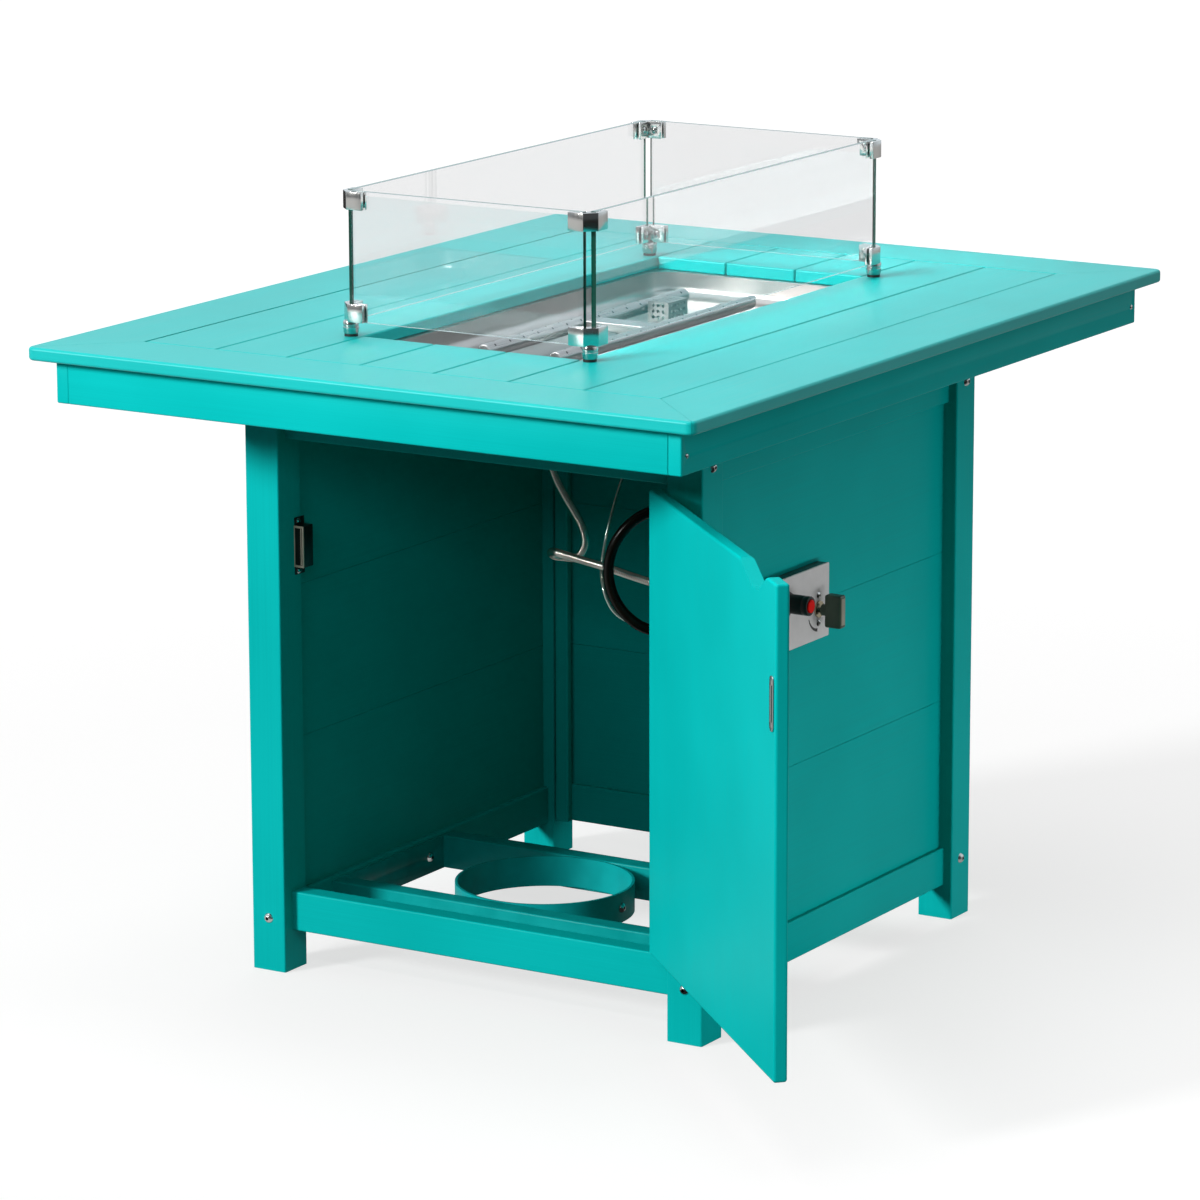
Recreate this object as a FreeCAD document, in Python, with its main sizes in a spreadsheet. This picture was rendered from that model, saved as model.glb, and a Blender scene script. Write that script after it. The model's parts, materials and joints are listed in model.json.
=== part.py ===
import FreeCAD, Part
import math
import os
import re

from FreeCAD import Placement, Rotation, Vector

# A fire pit table on a cabinet base, in millimetres. The origin is on the floor under the middle of
# the table top, +X is the side with the gas controls, -Y is the door side and +Z is up.

# Counts
SIDE_BOARDS = 2
OPEN_BOARDS = 3
PANEL_BOARDS = 3
GAS_HOLES = 15
LOOP_QUARTERS = 3

SIZES = {
    # Table top
    "top_height": 750,
    "top_thickness": 15,
    "top_length": 1102,
    "border_width": 93,
    "board_width": 93,
    "board_gap": 1.5,
    "mitre_gap": 0.3,
    "corner_round": 10,
    "border_round": 3.5,
    "board_round": 2,
    "opening_length": 632,
    "opening_shift": 9,
    # Battens and bearers under the top
    "batten_width": 45,
    "batten_height": 20,
    "bearer_height": 20,
    # Aprons
    "apron_inset_side": 25.8,
    "apron_inset_end": 20.8,
    "apron_height": 48.6,
    "apron_thickness": 16.5,
    "timber_round": 2,
    # Base frame
    "base_width": 597,
    "base_depth": 630,
    "leg_size": 44.5,
    "rail_height": 46,
    "rail_thickness": 25,
    "rail_setback_end": 15.4,
    "rail_setback_side": 11.1,
    "end_rail_low": 47.3,
    "side_rail_low": 40.5,
    "upper_rail_low": 621.6,
    # Infill boards and back corner battens
    "panel_thickness": 12,
    "panel_gap": 0.4,
    "panel_batten_width": 18,
    "panel_batten_thickness": 10,
    "panel_batten_offset": 6,
    # Frame bolts and screws
    "bolt_radius": 2.5,
    "bolt_head_radius": 6,
    "bolt_head_height": 4,
    "bolt_grip": 30,
    "bolt_drop_low": 1.5,
    "bolt_rise_high": 9,
    "screw_radius": 2,
    "screw_head_radius": 4,
    "screw_head_height": 2.2,
    "screw_length": 12,
    "apron_screw_length": 40,
    "apron_screw_head": 3,
    "apron_screw_height": 1.6,
    "apron_screw_inset": 11,
    "apron_screw_drop": 4,
    "hole_clearance": 0.2,
    # Door, shown open by door_open
    "door_open": 136,
    "door_width": 483,
    "door_height": 519.5,
    "door_low": 100,
    "door_thickness": 15,
    "door_round": 3,
    "door_face_offset": 3,
    "notch_from_edge": 33,
    "notch_width": 98,
    "notch_floor": 22,
    "notch_floor_from_edge": 62,
    "notch_depth": 20,
    "notch_round": 10,
    # Hinges
    "hinge_offset": 10,
    "hinge_setback": 9.2,
    "hinge_gap": 6.5,
    "hinge_height": 62,
    "hinge_upper_low": 501,
    "hinge_lower_low": 127,
    "hinge_leaf": 2,
    "frame_leaf_width": 28,
    "knuckle_radius": 5,
    "knuckle_gap": 0.3,
    "hinge_pin_radius": 2.5,
    "running_clearance": 0.05,
    # Strike plate and magnetic catch
    "strike_thickness": 1.5,
    "strike_width": 13,
    "strike_height": 58,
    "strike_round": 6,
    "strike_from_edge": 4,
    "strike_screw_inset": 7,
    "strike_head_height": 0.5,
    "latch_height": 495,
    "catch_gap": 0.8,
    "catch_width": 13,
    "catch_depth": 20,
    "catch_height": 48,
    "catch_tab_height": 66,
    "catch_tab": 2,
    "catch_tab_depth": 14,
    # Tank cradle
    "tank_x": -52,
    "tank_y": -76,
    "ring_radius": 104.5,
    "ring_wall": 3,
    "ring_height": 36,
    "cradle_low": 42,
    "cradle_height": 40,
    "bar_width": 25,
    "bar_wall": 2,
    "end_plate": 3,
    "cradle_bolt_spread": 75,
    "weld_gap": 0.2,
    # Burner pan and burner
    "pan_inset": 6.5,
    "pan_depth": 30,
    "pan_wall": 1.2,
    "pan_flange": 12,
    "pan_corner": 35,
    "pan_floor_round": 12,
    "burner_spacing": 94,
    "burner_length": 434,
    "burner_tube_radius": 8.5,
    "burner_tube_wall": 1.5,
    "burner_foot": 11,
    "burner_foot_width": 10,
    "burner_foot_thickness": 2,
    "burner_foot_inset": 14,
    "gas_hole_radius": 1.5,
    "gas_hole_pitch": 28,
    "cross_width": 28,
    "cross_height": 11,
    "inlet_radius": 8,
    "inlet_drop": 16,
    "inlet_nut_radius": 13,
    "inlet_nut_height": 7,
    # Pilot cage and electrode
    "cage_width": 28,
    "cage_length": 44,
    "cage_height": 22,
    "cage_wall": 1,
    "cage_x": -23,
    "cage_from_middle": 140,
    "cage_lift": 6,
    "cage_foot": 5,
    "cage_hole_radius": 2,
    "electrode_radius": 3,
    "electrode_top": 16,
    "electrode_drop": 20,
    # Control plate, valve and igniter
    "plate_y": -102,
    "plate_z": 448,
    "plate_width": 150,
    "plate_height": 84,
    "plate_thickness": 2,
    "plate_standoff": 12,
    "box_margin": 0.5,
    "box_depth": 36,
    "box_wall": 2,
    "valve_y": -51,
    "valve_z": 440.5,
    "valve_width": 28,
    "valve_height": 30,
    "valve_depth": 58,
    "valve_bush_radius": 8,
    "valve_nut_radius": 9.5,
    "valve_nut_height": 2,
    "valve_chamber_radius": 6,
    "valve_chamber_depth": 30,
    "valve_screw_spread": 16,
    "stem_radius": 4,
    "plunger_thickness": 4,
    "plunger_clearance": 0.1,
    "knob_standoff": 3.5,
    "knob_depth": 26,
    "knob_collar_radius": 6.5,
    "knob_collar_depth": 10.6,
    "knob_width": 13,
    "knob_height": 37.5,
    "knob_round": 2.5,
    "igniter_y": -122,
    "igniter_z": 461,
    "igniter_radius": 11,
    "igniter_length": 29.5,
    "igniter_flange_radius": 14.5,
    "igniter_flange_depth": 3,
    "igniter_barrel_radius": 10,
    "igniter_barrel_length": 32,
    "igniter_tail_radius": 3,
    "igniter_tail_length": 10,
    "button_radius": 7.5,
    "button_clearance": 0.3,
    "button_proud": 1.5,
    "button_bore_depth": 16,
    "button_length": 11,
    # Gas pipe, ignition wire and gas hose
    "cord_exit": 20,
    "pipe_radius": 5,
    "wire_radius": 2,
    "outlet_radius": 7,
    "outlet_length": 14,
    "hose_radius": 6.2,
    "loop_radius": 74.5,
    "loop_advance": 5,
    "loop_heading": 31.3,
    "hose_reach": 119,
    "elbow_drop": 20.5,
    "elbow_clearance": 2.5,
    "elbow_radius": 8,
    "ferrule_radius": 9,
    "ferrule_length": 26,
    "hose_tail": 96.5,
    # Regulator
    "regulator_radius": 30,
    "regulator_depth": 32,
    "regulator_neck_radius": 7,
    "regulator_neck_length": 34,
    "hand_nut_radius": 19,
    "hand_nut_length": 26,
    "nut_stop_radius": 10,
    "nut_stop_length": 3,
    # Glass guard
    "guard_width": 320,
    "guard_length": 650,
    "glass_thickness": 6,
    "glass_height": 146,
    "glass_inset": 10,
    "glass_clearance": 0.2,
    "glass_hole_clearance": 1,
    "clamp_height": 20,
    "clamp_drop": 0.5,
    "clamp_wing": 26.5,
    "clamp_thickness": 5,
    "clamp_chamfer": 12,
    "clamp_web_clearance": 0.5,
    "clamp_plate": 2.5,
    "clamp_screw_from_corner": 17,
    "post_radius": 9,
    "post_height": 14,
    "post_inset": 5,
    "pad_radius": 7.5,
    "pad_height": 3,
}

# Sizes that follow from the sheet
PITCH = "(board_width + board_gap)"
FIELD_BOARDS = 2 * SIDE_BOARDS + OPEN_BOARDS
TOP_WIDTH = f"({FIELD_BOARDS} * {PITCH} + board_gap + 2 * border_width)"
FIELD_LENGTH = "(top_length - 2 * (border_width + board_gap))"
SHORT_LENGTH = f"(({FIELD_LENGTH} - opening_length) / 2)"
OPEN_WIDTH = f"({OPEN_BOARDS} * {PITCH} + board_gap)"
UNDERSIDE = "(top_height - top_thickness)"
BATTEN_LOW = f"({UNDERSIDE} - batten_height)"
LEG_TOP = f"({BATTEN_LOW} - bearer_height)"
APRON_X = f"({TOP_WIDTH} / 2 - apron_inset_side)"
APRON_Y = "(top_length / 2 - apron_inset_end)"
APRON_LOW = f"({UNDERSIDE} - apron_height)"
LEG_X = "(base_width / 2 - leg_size / 2)"
LEG_Y = "(base_depth / 2 - leg_size / 2)"
LEG_IN_X = "(base_width / 2 - leg_size)"
LEG_IN_Y = "(base_depth / 2 - leg_size)"
RAIL_X = "(base_width / 2 - rail_setback_side - rail_thickness / 2)"
RAIL_Y = "(base_depth / 2 - rail_setback_end - rail_thickness / 2)"
RAIL_IN_X = f"({RAIL_X} - rail_thickness / 2)"
RAIL_IN_Y = f"({RAIL_Y} - rail_thickness / 2)"
PIN_X = f"({LEG_IN_X} - hinge_offset)"
PIN_Y = "(hinge_setback - base_depth / 2)"
PANEL_FACE = f"({RAIL_X} + panel_thickness / 2)"
PLATE_IN = f"({PANEL_FACE} + plate_standoff)"
PLATE_OUT = f"({PLATE_IN} + plate_thickness)"
PAN_WIDTH = f"({OPEN_WIDTH} - 2 * pan_inset)"
PAN_LENGTH = "(opening_length - 2 * pan_inset)"
PAN_FLOOR = f"({UNDERSIDE} - pan_depth + pan_wall)"
TUBE_Z = f"({PAN_FLOOR} + burner_foot + burner_tube_radius)"
CAGE_Y = "(opening_shift + cage_from_middle)"
VALVE_BACK = f"({PLATE_IN} - valve_depth)"
NUT_FACE = f"({PLATE_OUT} + valve_nut_height)"
KNOB_BACK = f"({NUT_FACE} + knob_standoff)"
GUARD_LOW = "(top_height + pad_height + post_height)"

doc = FreeCAD.newDocument("FirePitTable")
sheet = doc.addObject("Spreadsheet::Sheet", "Sizes")
for row, (alias, value) in enumerate(SIZES.items(), start=1):
    sheet.set(f"A{row}", alias)
    sheet.set(f"B{row}", str(value))
    sheet.setAlias(f"B{row}", alias)
doc.recompute()

nodes = {}

FACING = {
    "+x": Rotation(Vector(0, 1, 0), 90),
    "-x": Rotation(Vector(0, 1, 0), -90),
    "+y": Rotation(Vector(1, 0, 0), -90),
    "-y": Rotation(Vector(1, 0, 0), 90),
    "+z": Rotation(),
    "-z": Rotation(Vector(1, 0, 0), 180),
}


def formula(text):
    """A formula with the sheet's name put before each size in it."""
    return re.sub(r"[a-z_]+", lambda word: f"Sizes.{word[0]}" if word[0] in SIZES else word[0], str(text))


def size(text):
    return float(sheet.evalExpression(formula(text)))


def bind(item, values):
    for name, text in values.items():
        item.setExpression(name, formula(text))
    return item


def place(item, x, y, z):
    return bind(item, {"Placement.Base.x": x, "Placement.Base.y": y, "Placement.Base.z": z})


def block(x, y, z, dx, dy, dz):
    """A box centred on x and y with its underside at z."""
    item = bind(doc.addObject("Part::Box", "Block"), {"Length": dx, "Width": dy, "Height": dz})
    return place(item, f"({x}) - ({dx}) / 2", f"({y}) - ({dy}) / 2", z)


def bar(x0, x1, y0, y1, z0, z1):
    """A box between two corners."""
    sides = {"Length": f"({x1}) - ({x0})", "Width": f"({y1}) - ({y0})", "Height": f"({z1}) - ({z0})"}
    return place(bind(doc.addObject("Part::Box", "Bar"), sides), x0, y0, z0)


def rod(x, y, z, radius, length, facing="+z"):
    item = doc.addObject("Part::Cylinder", "Rod")
    item.Placement = Placement(Vector(), FACING[facing])
    return place(bind(item, {"Radius": radius, "Height": length}), x, y, z)


def fuse(*items):
    item = doc.addObject("Part::MultiFuse", "Fuse")
    item.Shapes = list(items)
    item.Refine = True
    return item


def group(items):
    """Separate solids kept in one node."""
    item = doc.addObject("Part::Compound", "Group")
    item.Links = list(items)
    return item


def cut(base, *tools):
    for tool in tools:
        item = doc.addObject("Part::Cut", "Cut")
        item.Base = base
        item.Tool = tool
        base = item
    return base


def common(base, tool):
    item = doc.addObject("Part::Common", "Common")
    item.Base = base
    item.Tool = tool
    return item


def rounded(base, radius, choose=lambda edge: True):
    """Fillet the edges that choose picks."""
    doc.recompute()
    reach = size(radius)
    item = doc.addObject("Part::Fillet", "Rounded")
    item.Base = base
    item.Edges = [(i, reach, reach) for i, edge in enumerate(base.Shape.Edges, start=1) if choose(edge)]
    return item


def runs_along(axis):
    def choose(edge):
        box = edge.BoundBox
        spans = {"x": box.XLength, "y": box.YLength, "z": box.ZLength}
        return all(span < 1e-6 for name, span in spans.items() if name != axis)
    return choose


def level_at(height):
    def choose(edge):
        return edge.BoundBox.ZLength < 1e-6 and abs(edge.BoundBox.ZMin - size(height)) < 1e-6
    return choose


def copies(master, spots):
    """One compound with the master's solid at each spot, its +Z turned to the way it faces."""
    doc.recompute()
    shapes = []
    for x, y, z, facing in spots:
        shape = master.Shape.copy()
        shape.Placement = Placement(Vector(size(x), size(y), size(z)), FACING[facing]) * shape.Placement
        shapes.append(shape)
    item = doc.addObject("Part::Feature", "Copies")
    item.Shape = Part.makeCompound(shapes)
    return item


def node(name, item):
    item.Label = name
    nodes[name] = item
    return item


def dome_bolt(head_radius, head_height, radius, length):
    """A bolt whose dome stands on z = 0 and whose shank points down."""
    ball = f"(({head_radius} ^ 2 + {head_height} ^ 2) / (2 * {head_height}))"
    head = doc.addObject("Part::Sphere", "Head")
    bind(head, {"Radius": ball, "Angle1": f"asin(1 - {head_height} / {ball})"})
    place(head, "0", "0", f"{head_height} - {ball}")
    return fuse(head, rod("0", "0", "0", radius, length, "-z"))


def bolt_hole(radius, length):
    """The hole for such a bolt, a little wider and longer than its shank."""
    return rod("0", "0", "0", f"{radius} + hole_clearance", f"{length} + hole_clearance", "-z")


def fastened(master, hole, spots):
    return copies(master, spots), copies(hole, spots)


# Table top: a mitred border round long and short boards
slab = block("0", "0", UNDERSIDE, TOP_WIDTH, "top_length", "top_thickness")
slab = rounded(slab, "corner_round", runs_along("z"))
slab = rounded(slab, "border_round", lambda edge: level_at("top_height")(edge) or level_at(UNDERSIDE)(edge))


def border(length, span, turn):
    """A border board whose mitred ends meet its neighbours' at 45 degrees."""
    item = doc.addObject("Part::Wedge", "Border")
    item.Placement = Placement(Vector(), Rotation(Vector(0, 0, 1), turn))
    outer = f"({length} / 2 - mitre_gap)"
    inner = f"({length} / 2 - border_width - mitre_gap)"
    bind(item, {"Xmin": f"-{outer}", "Xmax": outer, "X2min": f"-{inner}", "X2max": inner})
    bind(item, {"Ymin": f"-{span} / 2", "Ymax": f"border_width - {span} / 2"})
    bind(item, {"Zmin": "0", "Z2min": "0", "Zmax": "top_thickness", "Z2max": "top_thickness"})
    return common(place(item, "0", "0", UNDERSIDE), slab)


node("border_front", border(TOP_WIDTH, "top_length", 0))
node("border_right", border("top_length", TOP_WIDTH, 90))
node("border_back", border(TOP_WIDTH, "top_length", 180))
node("border_left", border("top_length", TOP_WIDTH, 270))


def top_board(slot, y, length):
    plank = block(f"{slot} * {PITCH}", y, UNDERSIDE, "board_width", length, "top_thickness")
    return rounded(plank, "board_round")


first_side_slot = (OPEN_BOARDS + 1) // 2
side_slots = range(first_side_slot, first_side_slot + SIDE_BOARDS)
open_slots = range(1 - first_side_slot, first_side_slot)
front_length = f"({SHORT_LENGTH} + opening_shift)"
back_length = f"({SHORT_LENGTH} - opening_shift)"
front_y = f"(({front_length} - {FIELD_LENGTH}) / 2)"
back_y = f"(({FIELD_LENGTH} - {back_length}) / 2)"
node("boards_left", group([top_board(-slot, "0", FIELD_LENGTH) for slot in side_slots]))
node("boards_right", group([top_board(slot, "0", FIELD_LENGTH) for slot in side_slots]))
node("boards_front", group([top_board(slot, front_y, front_length) for slot in open_slots]))
node("boards_back", group([top_board(slot, back_y, back_length) for slot in open_slots]))

# Battens across the boards, two bearers along them on the legs
apron_in_x = f"({APRON_X} - apron_thickness)"
apron_in_y = f"({APRON_Y} - apron_thickness)"
seam_y = "(top_length / 2 - border_width - board_gap / 2)"
pan_batten_y = "(opening_length / 2 + pan_flange + batten_width / 2)"
mid_batten_x = f"({OPEN_WIDTH} / 2 + pan_flange)"
battens = [block("0", y, BATTEN_LOW, f"2 * {apron_in_x}", "batten_width", "batten_height")
           for y in (seam_y, f"-{seam_y}", f"opening_shift + {pan_batten_y}",
                     f"opening_shift - {pan_batten_y}")]
battens.append(bar(mid_batten_x, apron_in_x, "-batten_width / 2", "batten_width / 2", BATTEN_LOW, UNDERSIDE))
battens.append(bar(f"-{apron_in_x}", f"-{mid_batten_x}", "-batten_width / 2", "batten_width / 2", BATTEN_LOW,
                   UNDERSIDE))
node("top_battens", group(battens))
node("top_bearers", group([block(x, "0", LEG_TOP, "leg_size", f"2 * {apron_in_y}", "bearer_height")
                           for x in (LEG_X, f"-{LEG_X}")]))

# Aprons: the side aprons cover the ends of the end aprons, with one screw at each joint
apron_screw = dome_bolt("apron_screw_head", "apron_screw_height", "screw_radius", "apron_screw_length")
apron_hole = bolt_hole("screw_radius", "apron_screw_length")
apron_mid_y = f"({APRON_Y} - apron_thickness / 2)"
apron_screw_y = f"({APRON_Y} - apron_screw_inset)"
apron_screw_z = f"({APRON_LOW} + apron_height / 2 - apron_screw_drop)"
apron_spots = [(f"{side} * {APRON_X}", f"{end} * {apron_screw_y}", apron_screw_z,
                "+x" if side > 0 else "-x") for side in (1, -1) for end in (1, -1)]
screws, holes = fastened(apron_screw, apron_hole, apron_spots)
node("apron_screws", screws)


def side_apron(side):
    plank = block(f"{side} * ({APRON_X} - apron_thickness / 2)", "0", APRON_LOW, "apron_thickness",
                  f"2 * {APRON_Y}", "apron_height")
    plank = rounded(plank, "timber_round",
                    lambda edge: level_at(APRON_LOW)(edge) or runs_along("z")(edge))
    return cut(plank, holes)


def end_apron(end):
    plank = block("0", f"{end} * {apron_mid_y}", APRON_LOW, f"2 * {apron_in_x}", "apron_thickness",
                  "apron_height")
    plank = rounded(plank, "timber_round",
                    lambda edge: level_at(APRON_LOW)(edge) and runs_along("x")(edge))
    return cut(plank, holes)


node("aprons_side", group([side_apron(1), side_apron(-1)]))
node("aprons_end", group([end_apron(-1), end_apron(1)]))

# Frame bolts: along X into the end rails, along Y into the side rails
frame_bolt = dome_bolt("bolt_head_radius", "bolt_head_height", "bolt_radius", "leg_size + bolt_grip")
frame_hole = bolt_hole("bolt_radius", "leg_size + bolt_grip")
bolt_spots = []
for side in (1, -1):
    for end in (1, -1):
        for low in ("end_rail_low", "upper_rail_low"):
            bolt_spots.append((f"{side} * base_width / 2", f"{end} * {LEG_Y}", f"{low} + rail_height / 2",
                               "+x" if side > 0 else "-x"))
        for low, rise in (("side_rail_low", "-bolt_drop_low"), ("upper_rail_low", "bolt_rise_high")):
            bolt_spots.append((f"{side} * {LEG_X}", f"{end} * base_depth / 2",
                               f"{low} + rail_height / 2 + {rise}", "+y" if end > 0 else "-y"))
bolts, holes = fastened(frame_bolt, frame_hole, bolt_spots)
node("frame_bolts", bolts)

# Legs and rails
for name, side, end in (("leg_front_left", -1, -1), ("leg_front_right", 1, -1),
                        ("leg_back_left", -1, 1), ("leg_back_right", 1, 1)):
    post = block(f"{side} * {LEG_X}", f"{end} * {LEG_Y}", "0", "leg_size", "leg_size", LEG_TOP)
    node(name, cut(rounded(post, "timber_round", runs_along("z")), holes))


def end_rail(end, low):
    plank = block("0", f"{end} * {RAIL_Y}", low, f"2 * {LEG_IN_X}", "rail_thickness", "rail_height")
    return cut(rounded(plank, "timber_round", runs_along("x")), holes)


cradle_grip = "(end_plate + rail_thickness / 2)"
cradle_bolt = dome_bolt("bolt_head_radius", "bolt_head_height", "bolt_radius", cradle_grip)
cradle_hole = bolt_hole("bolt_radius", cradle_grip)
cradle_spots = [(f"{side} * ({RAIL_IN_X} - end_plate)", f"tank_y + {spread} * cradle_bolt_spread",
                 "cradle_low + cradle_height / 2", "-x" if side > 0 else "+x")
                for side in (1, -1) for spread in (1, -1)]
cradle_bolts, cradle_holes = fastened(cradle_bolt, cradle_hole, cradle_spots)


def side_rail(side, low):
    plank = block(f"{side} * {RAIL_X}", "0", low, "rail_thickness", f"2 * {LEG_IN_Y}", "rail_height")
    return cut(rounded(plank, "timber_round", runs_along("y")), holes)


for name, end in (("rails_front", -1), ("rails_back", 1)):
    node(name, group([end_rail(end, "end_rail_low"), end_rail(end, "upper_rail_low")]))
for name, side in (("rails_left", -1), ("rails_right", 1)):
    lower_rail = cut(side_rail(side, "side_rail_low"), cradle_holes)
    node(name, group([lower_rail, side_rail(side, "upper_rail_low")]))

# Infill boards between the rails; the right wall has the cut-out of the control box
box_width = "(plate_width - 2 * box_margin)"
box_height = "(plate_height - 2 * box_margin)"
control_opening = bar(f"{RAIL_IN_X}", PLATE_OUT, f"plate_y - {box_width} / 2 - hole_clearance",
                      f"plate_y + {box_width} / 2 + hole_clearance",
                      f"plate_z - {box_height} / 2 - hole_clearance",
                      f"plate_z + {box_height} / 2 + hole_clearance")


def infill(low, count, make):
    """Stacked boards from a lower rail's top to the upper rail."""
    rise = f"((upper_rail_low - {low} - rail_height + panel_gap) / {count})"
    return [make(f"({low} + rail_height + {i} * {rise})", f"({rise} - panel_gap)") for i in range(count)]


def side_infill(side):
    return infill("side_rail_low", PANEL_BOARDS, lambda z, height: block(
        f"{side} * {RAIL_X}", "0", z, "panel_thickness", f"2 * {LEG_IN_Y}", height))


def back_infill():
    return infill("end_rail_low", PANEL_BOARDS, lambda z, height: block(
        "0", RAIL_Y, z, f"2 * {LEG_IN_X}", "panel_thickness", height))


node("panel_left", group(side_infill(-1)))
node("panel_right", group([cut(plank, control_opening) for plank in side_infill(1)]))
node("panel_back", group(back_infill()))

batten_x = f"({LEG_IN_X} - panel_batten_offset - panel_batten_width / 2)"
node("panel_battens", group([
    rounded(block(f"{side} * {batten_x}", f"{RAIL_IN_Y} - panel_batten_thickness / 2", "end_rail_low",
                  "panel_batten_width", "panel_batten_thickness",
                  "upper_rail_low + rail_height - end_rail_low"),
            "timber_round", runs_along("z")) for side in (1, -1)]))

# Door: made closed with the hinge pin on the Z axis, then swung open about it
def swing(item):
    item.Placement = Placement(Vector(), Rotation(Vector(0, 0, 1), SIZES["door_open"]))
    place(item, PIN_X, PIN_Y, "0")
    return bind(item, {"Placement.Rotation.Angle": "door_open"})


door_edge = "(-hinge_gap - door_width)"
door_top = "(door_low + door_height)"
door_in = "(door_face_offset + door_thickness)"
panel = bar(door_edge, "-hinge_gap", "door_face_offset", door_in, "door_low", door_top)
panel = rounded(panel, "door_round")
notch = doc.addObject("Part::Wedge", "Notch")
notch.Placement = Placement(Vector(), Rotation(Vector(1, 0, 0), 90))
notch_left = f"({door_edge} + notch_from_edge)"
floor_left = f"({door_edge} + notch_floor_from_edge)"
bind(notch, {"Xmin": floor_left, "Xmax": f"{floor_left} + notch_floor"})
bind(notch, {"X2min": notch_left, "X2max": f"{notch_left} + notch_width"})
bind(notch, {"Ymin": "0", "Ymax": "notch_depth", "Zmin": "0", "Z2min": "0"})
bind(notch, {"Zmax": "door_thickness", "Z2max": "door_thickness"})
place(notch, "0", door_in, f"{door_top} - notch_depth")
notch = rounded(notch, "notch_round", lambda edge: runs_along("y")(edge) and level_at(
    f"{door_top} - notch_depth")(edge))
strike_x = f"({door_edge} + strike_from_edge + strike_width / 2)"
strike_screw = dome_bolt("screw_head_radius", "strike_head_height", "screw_radius", "screw_length")
trim_screw = dome_bolt("screw_head_radius", "screw_head_height", "screw_radius", "screw_length")
trim_hole = bolt_hole("screw_radius", "screw_length")
strike_spots = [(strike_x, f"{door_in} + strike_thickness", f"latch_height + {way} * (strike_height / 2 - "
                 "strike_screw_inset)", "+y") for way in (1, -1)]
screws, holes = fastened(strike_screw, trim_hole, strike_spots)
node("door_panel", swing(cut(panel, notch, holes)))
plate = block(strike_x, f"{door_in} + strike_thickness / 2", "latch_height - strike_height / 2",
              "strike_width", "strike_thickness", "strike_height")
plate = rounded(plate, "strike_round", runs_along("y"))
node("door_strike", swing(group([cut(plate, holes), screws])))

# Hinges: frame leaf on the leg, door leaf on the door's edge, three knuckles on one pin
hinge_lows = ("hinge_lower_low", "hinge_upper_low")
knuckle = "((hinge_height - 2 * knuckle_gap) / 3)"
knuckle_step = f"({knuckle} + knuckle_gap)"
pin_bore = "hinge_pin_radius + running_clearance"


def knuckle_at(x, y, low, place_in_hinge):
    return rod(x, y, f"{low} + {place_in_hinge} * {knuckle_step}", "knuckle_radius", knuckle)


def frame_leaf(low):
    pieces = [bar(f"{LEG_IN_X} - hinge_leaf", LEG_IN_X, f"{PIN_Y} - hinge_leaf / 2",
                  f"{PIN_Y} + frame_leaf_width", low, f"{low} + hinge_height")]
    for step in (0, 2):
        start = f"{low} + {step} * {knuckle_step}"
        pieces.append(knuckle_at(PIN_X, PIN_Y, low, step))
        pieces.append(bar(PIN_X, LEG_IN_X, f"{PIN_Y} - hinge_leaf / 2", f"{PIN_Y} + hinge_leaf / 2", start,
                          f"{start} + {knuckle}"))
    return cut(fuse(*pieces), rod(PIN_X, PIN_Y, low, pin_bore, "hinge_height"))


def door_leaf(low):
    start = f"{low} + {knuckle_step}"
    leaf = bar("-hinge_gap", "hinge_leaf - hinge_gap", "door_face_offset + hinge_leaf / 2",
               f"{door_in} - hinge_leaf / 2", low, f"{low} + hinge_height")
    web = bar("-hinge_gap", "0", "0", "door_face_offset + hinge_leaf", start, f"{start} + {knuckle}")
    return cut(fuse(leaf, web, knuckle_at("0", "0", low, 1)), rod("0", "0", low, pin_bore, "hinge_height"))


node("hinge_frame_leaves", group([frame_leaf(low) for low in hinge_lows]))
node("hinge_door_leaves", swing(group([door_leaf(low) for low in hinge_lows])))
node("hinge_pins", group([rod(PIN_X, PIN_Y, low, "hinge_pin_radius", "hinge_height") for low in hinge_lows]))

# Magnetic catch on the front left leg, its face just behind the closed strike plate
catch_front = f"({PIN_Y} + {door_in} + strike_thickness + catch_gap)"
catch_x = f"(-{LEG_IN_X})"
catch_spots = [(f"{catch_x} + catch_tab", f"{catch_front} + catch_tab_depth / 2",
                f"latch_height + {way} * (catch_tab_height / 2 + catch_height / 2) / 2", "+x")
               for way in (1, -1)]
catch_screws, catch_holes = fastened(trim_screw, trim_hole, catch_spots)
tab = block(f"{catch_x} + catch_tab / 2", f"{catch_front} + catch_tab_depth / 2",
            "latch_height - catch_tab_height / 2", "catch_tab", "catch_tab_depth", "catch_tab_height")
body = block(f"{catch_x} + catch_width / 2", f"{catch_front} + catch_depth / 2",
             "latch_height - catch_height / 2", "catch_width", "catch_depth", "catch_height")
node("door_catch", cut(fuse(tab, rounded(body, "hinge_leaf / 2", runs_along("z"))), catch_holes))
leg = nodes["leg_front_left"]
leg.Label = "leg_front_left_blank"
node("leg_front_left", cut(leg, catch_holes))

# Tank cradle: two box bars and two end plates between the side rails, with the ring between the bars
cradle_top = "(cradle_low + cradle_height)"
plate_in_x = f"({RAIL_IN_X} - end_plate)"
bar_near = "(ring_radius + weld_gap)"
bar_far = f"({bar_near} + bar_width)"


def cradle_bar(way):
    mid_y = f"(tank_y + {way} * ({bar_near} + bar_width / 2))"
    solid = block("0", mid_y, "cradle_low", f"2 * {plate_in_x}", "bar_width", "cradle_height")
    bore = block("0", mid_y, "cradle_low + bar_wall", f"2 * {plate_in_x}", "bar_width - 2 * bar_wall",
                 "cradle_height - 2 * bar_wall")
    return cut(rounded(solid, "bar_wall", runs_along("x")), bore)


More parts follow.
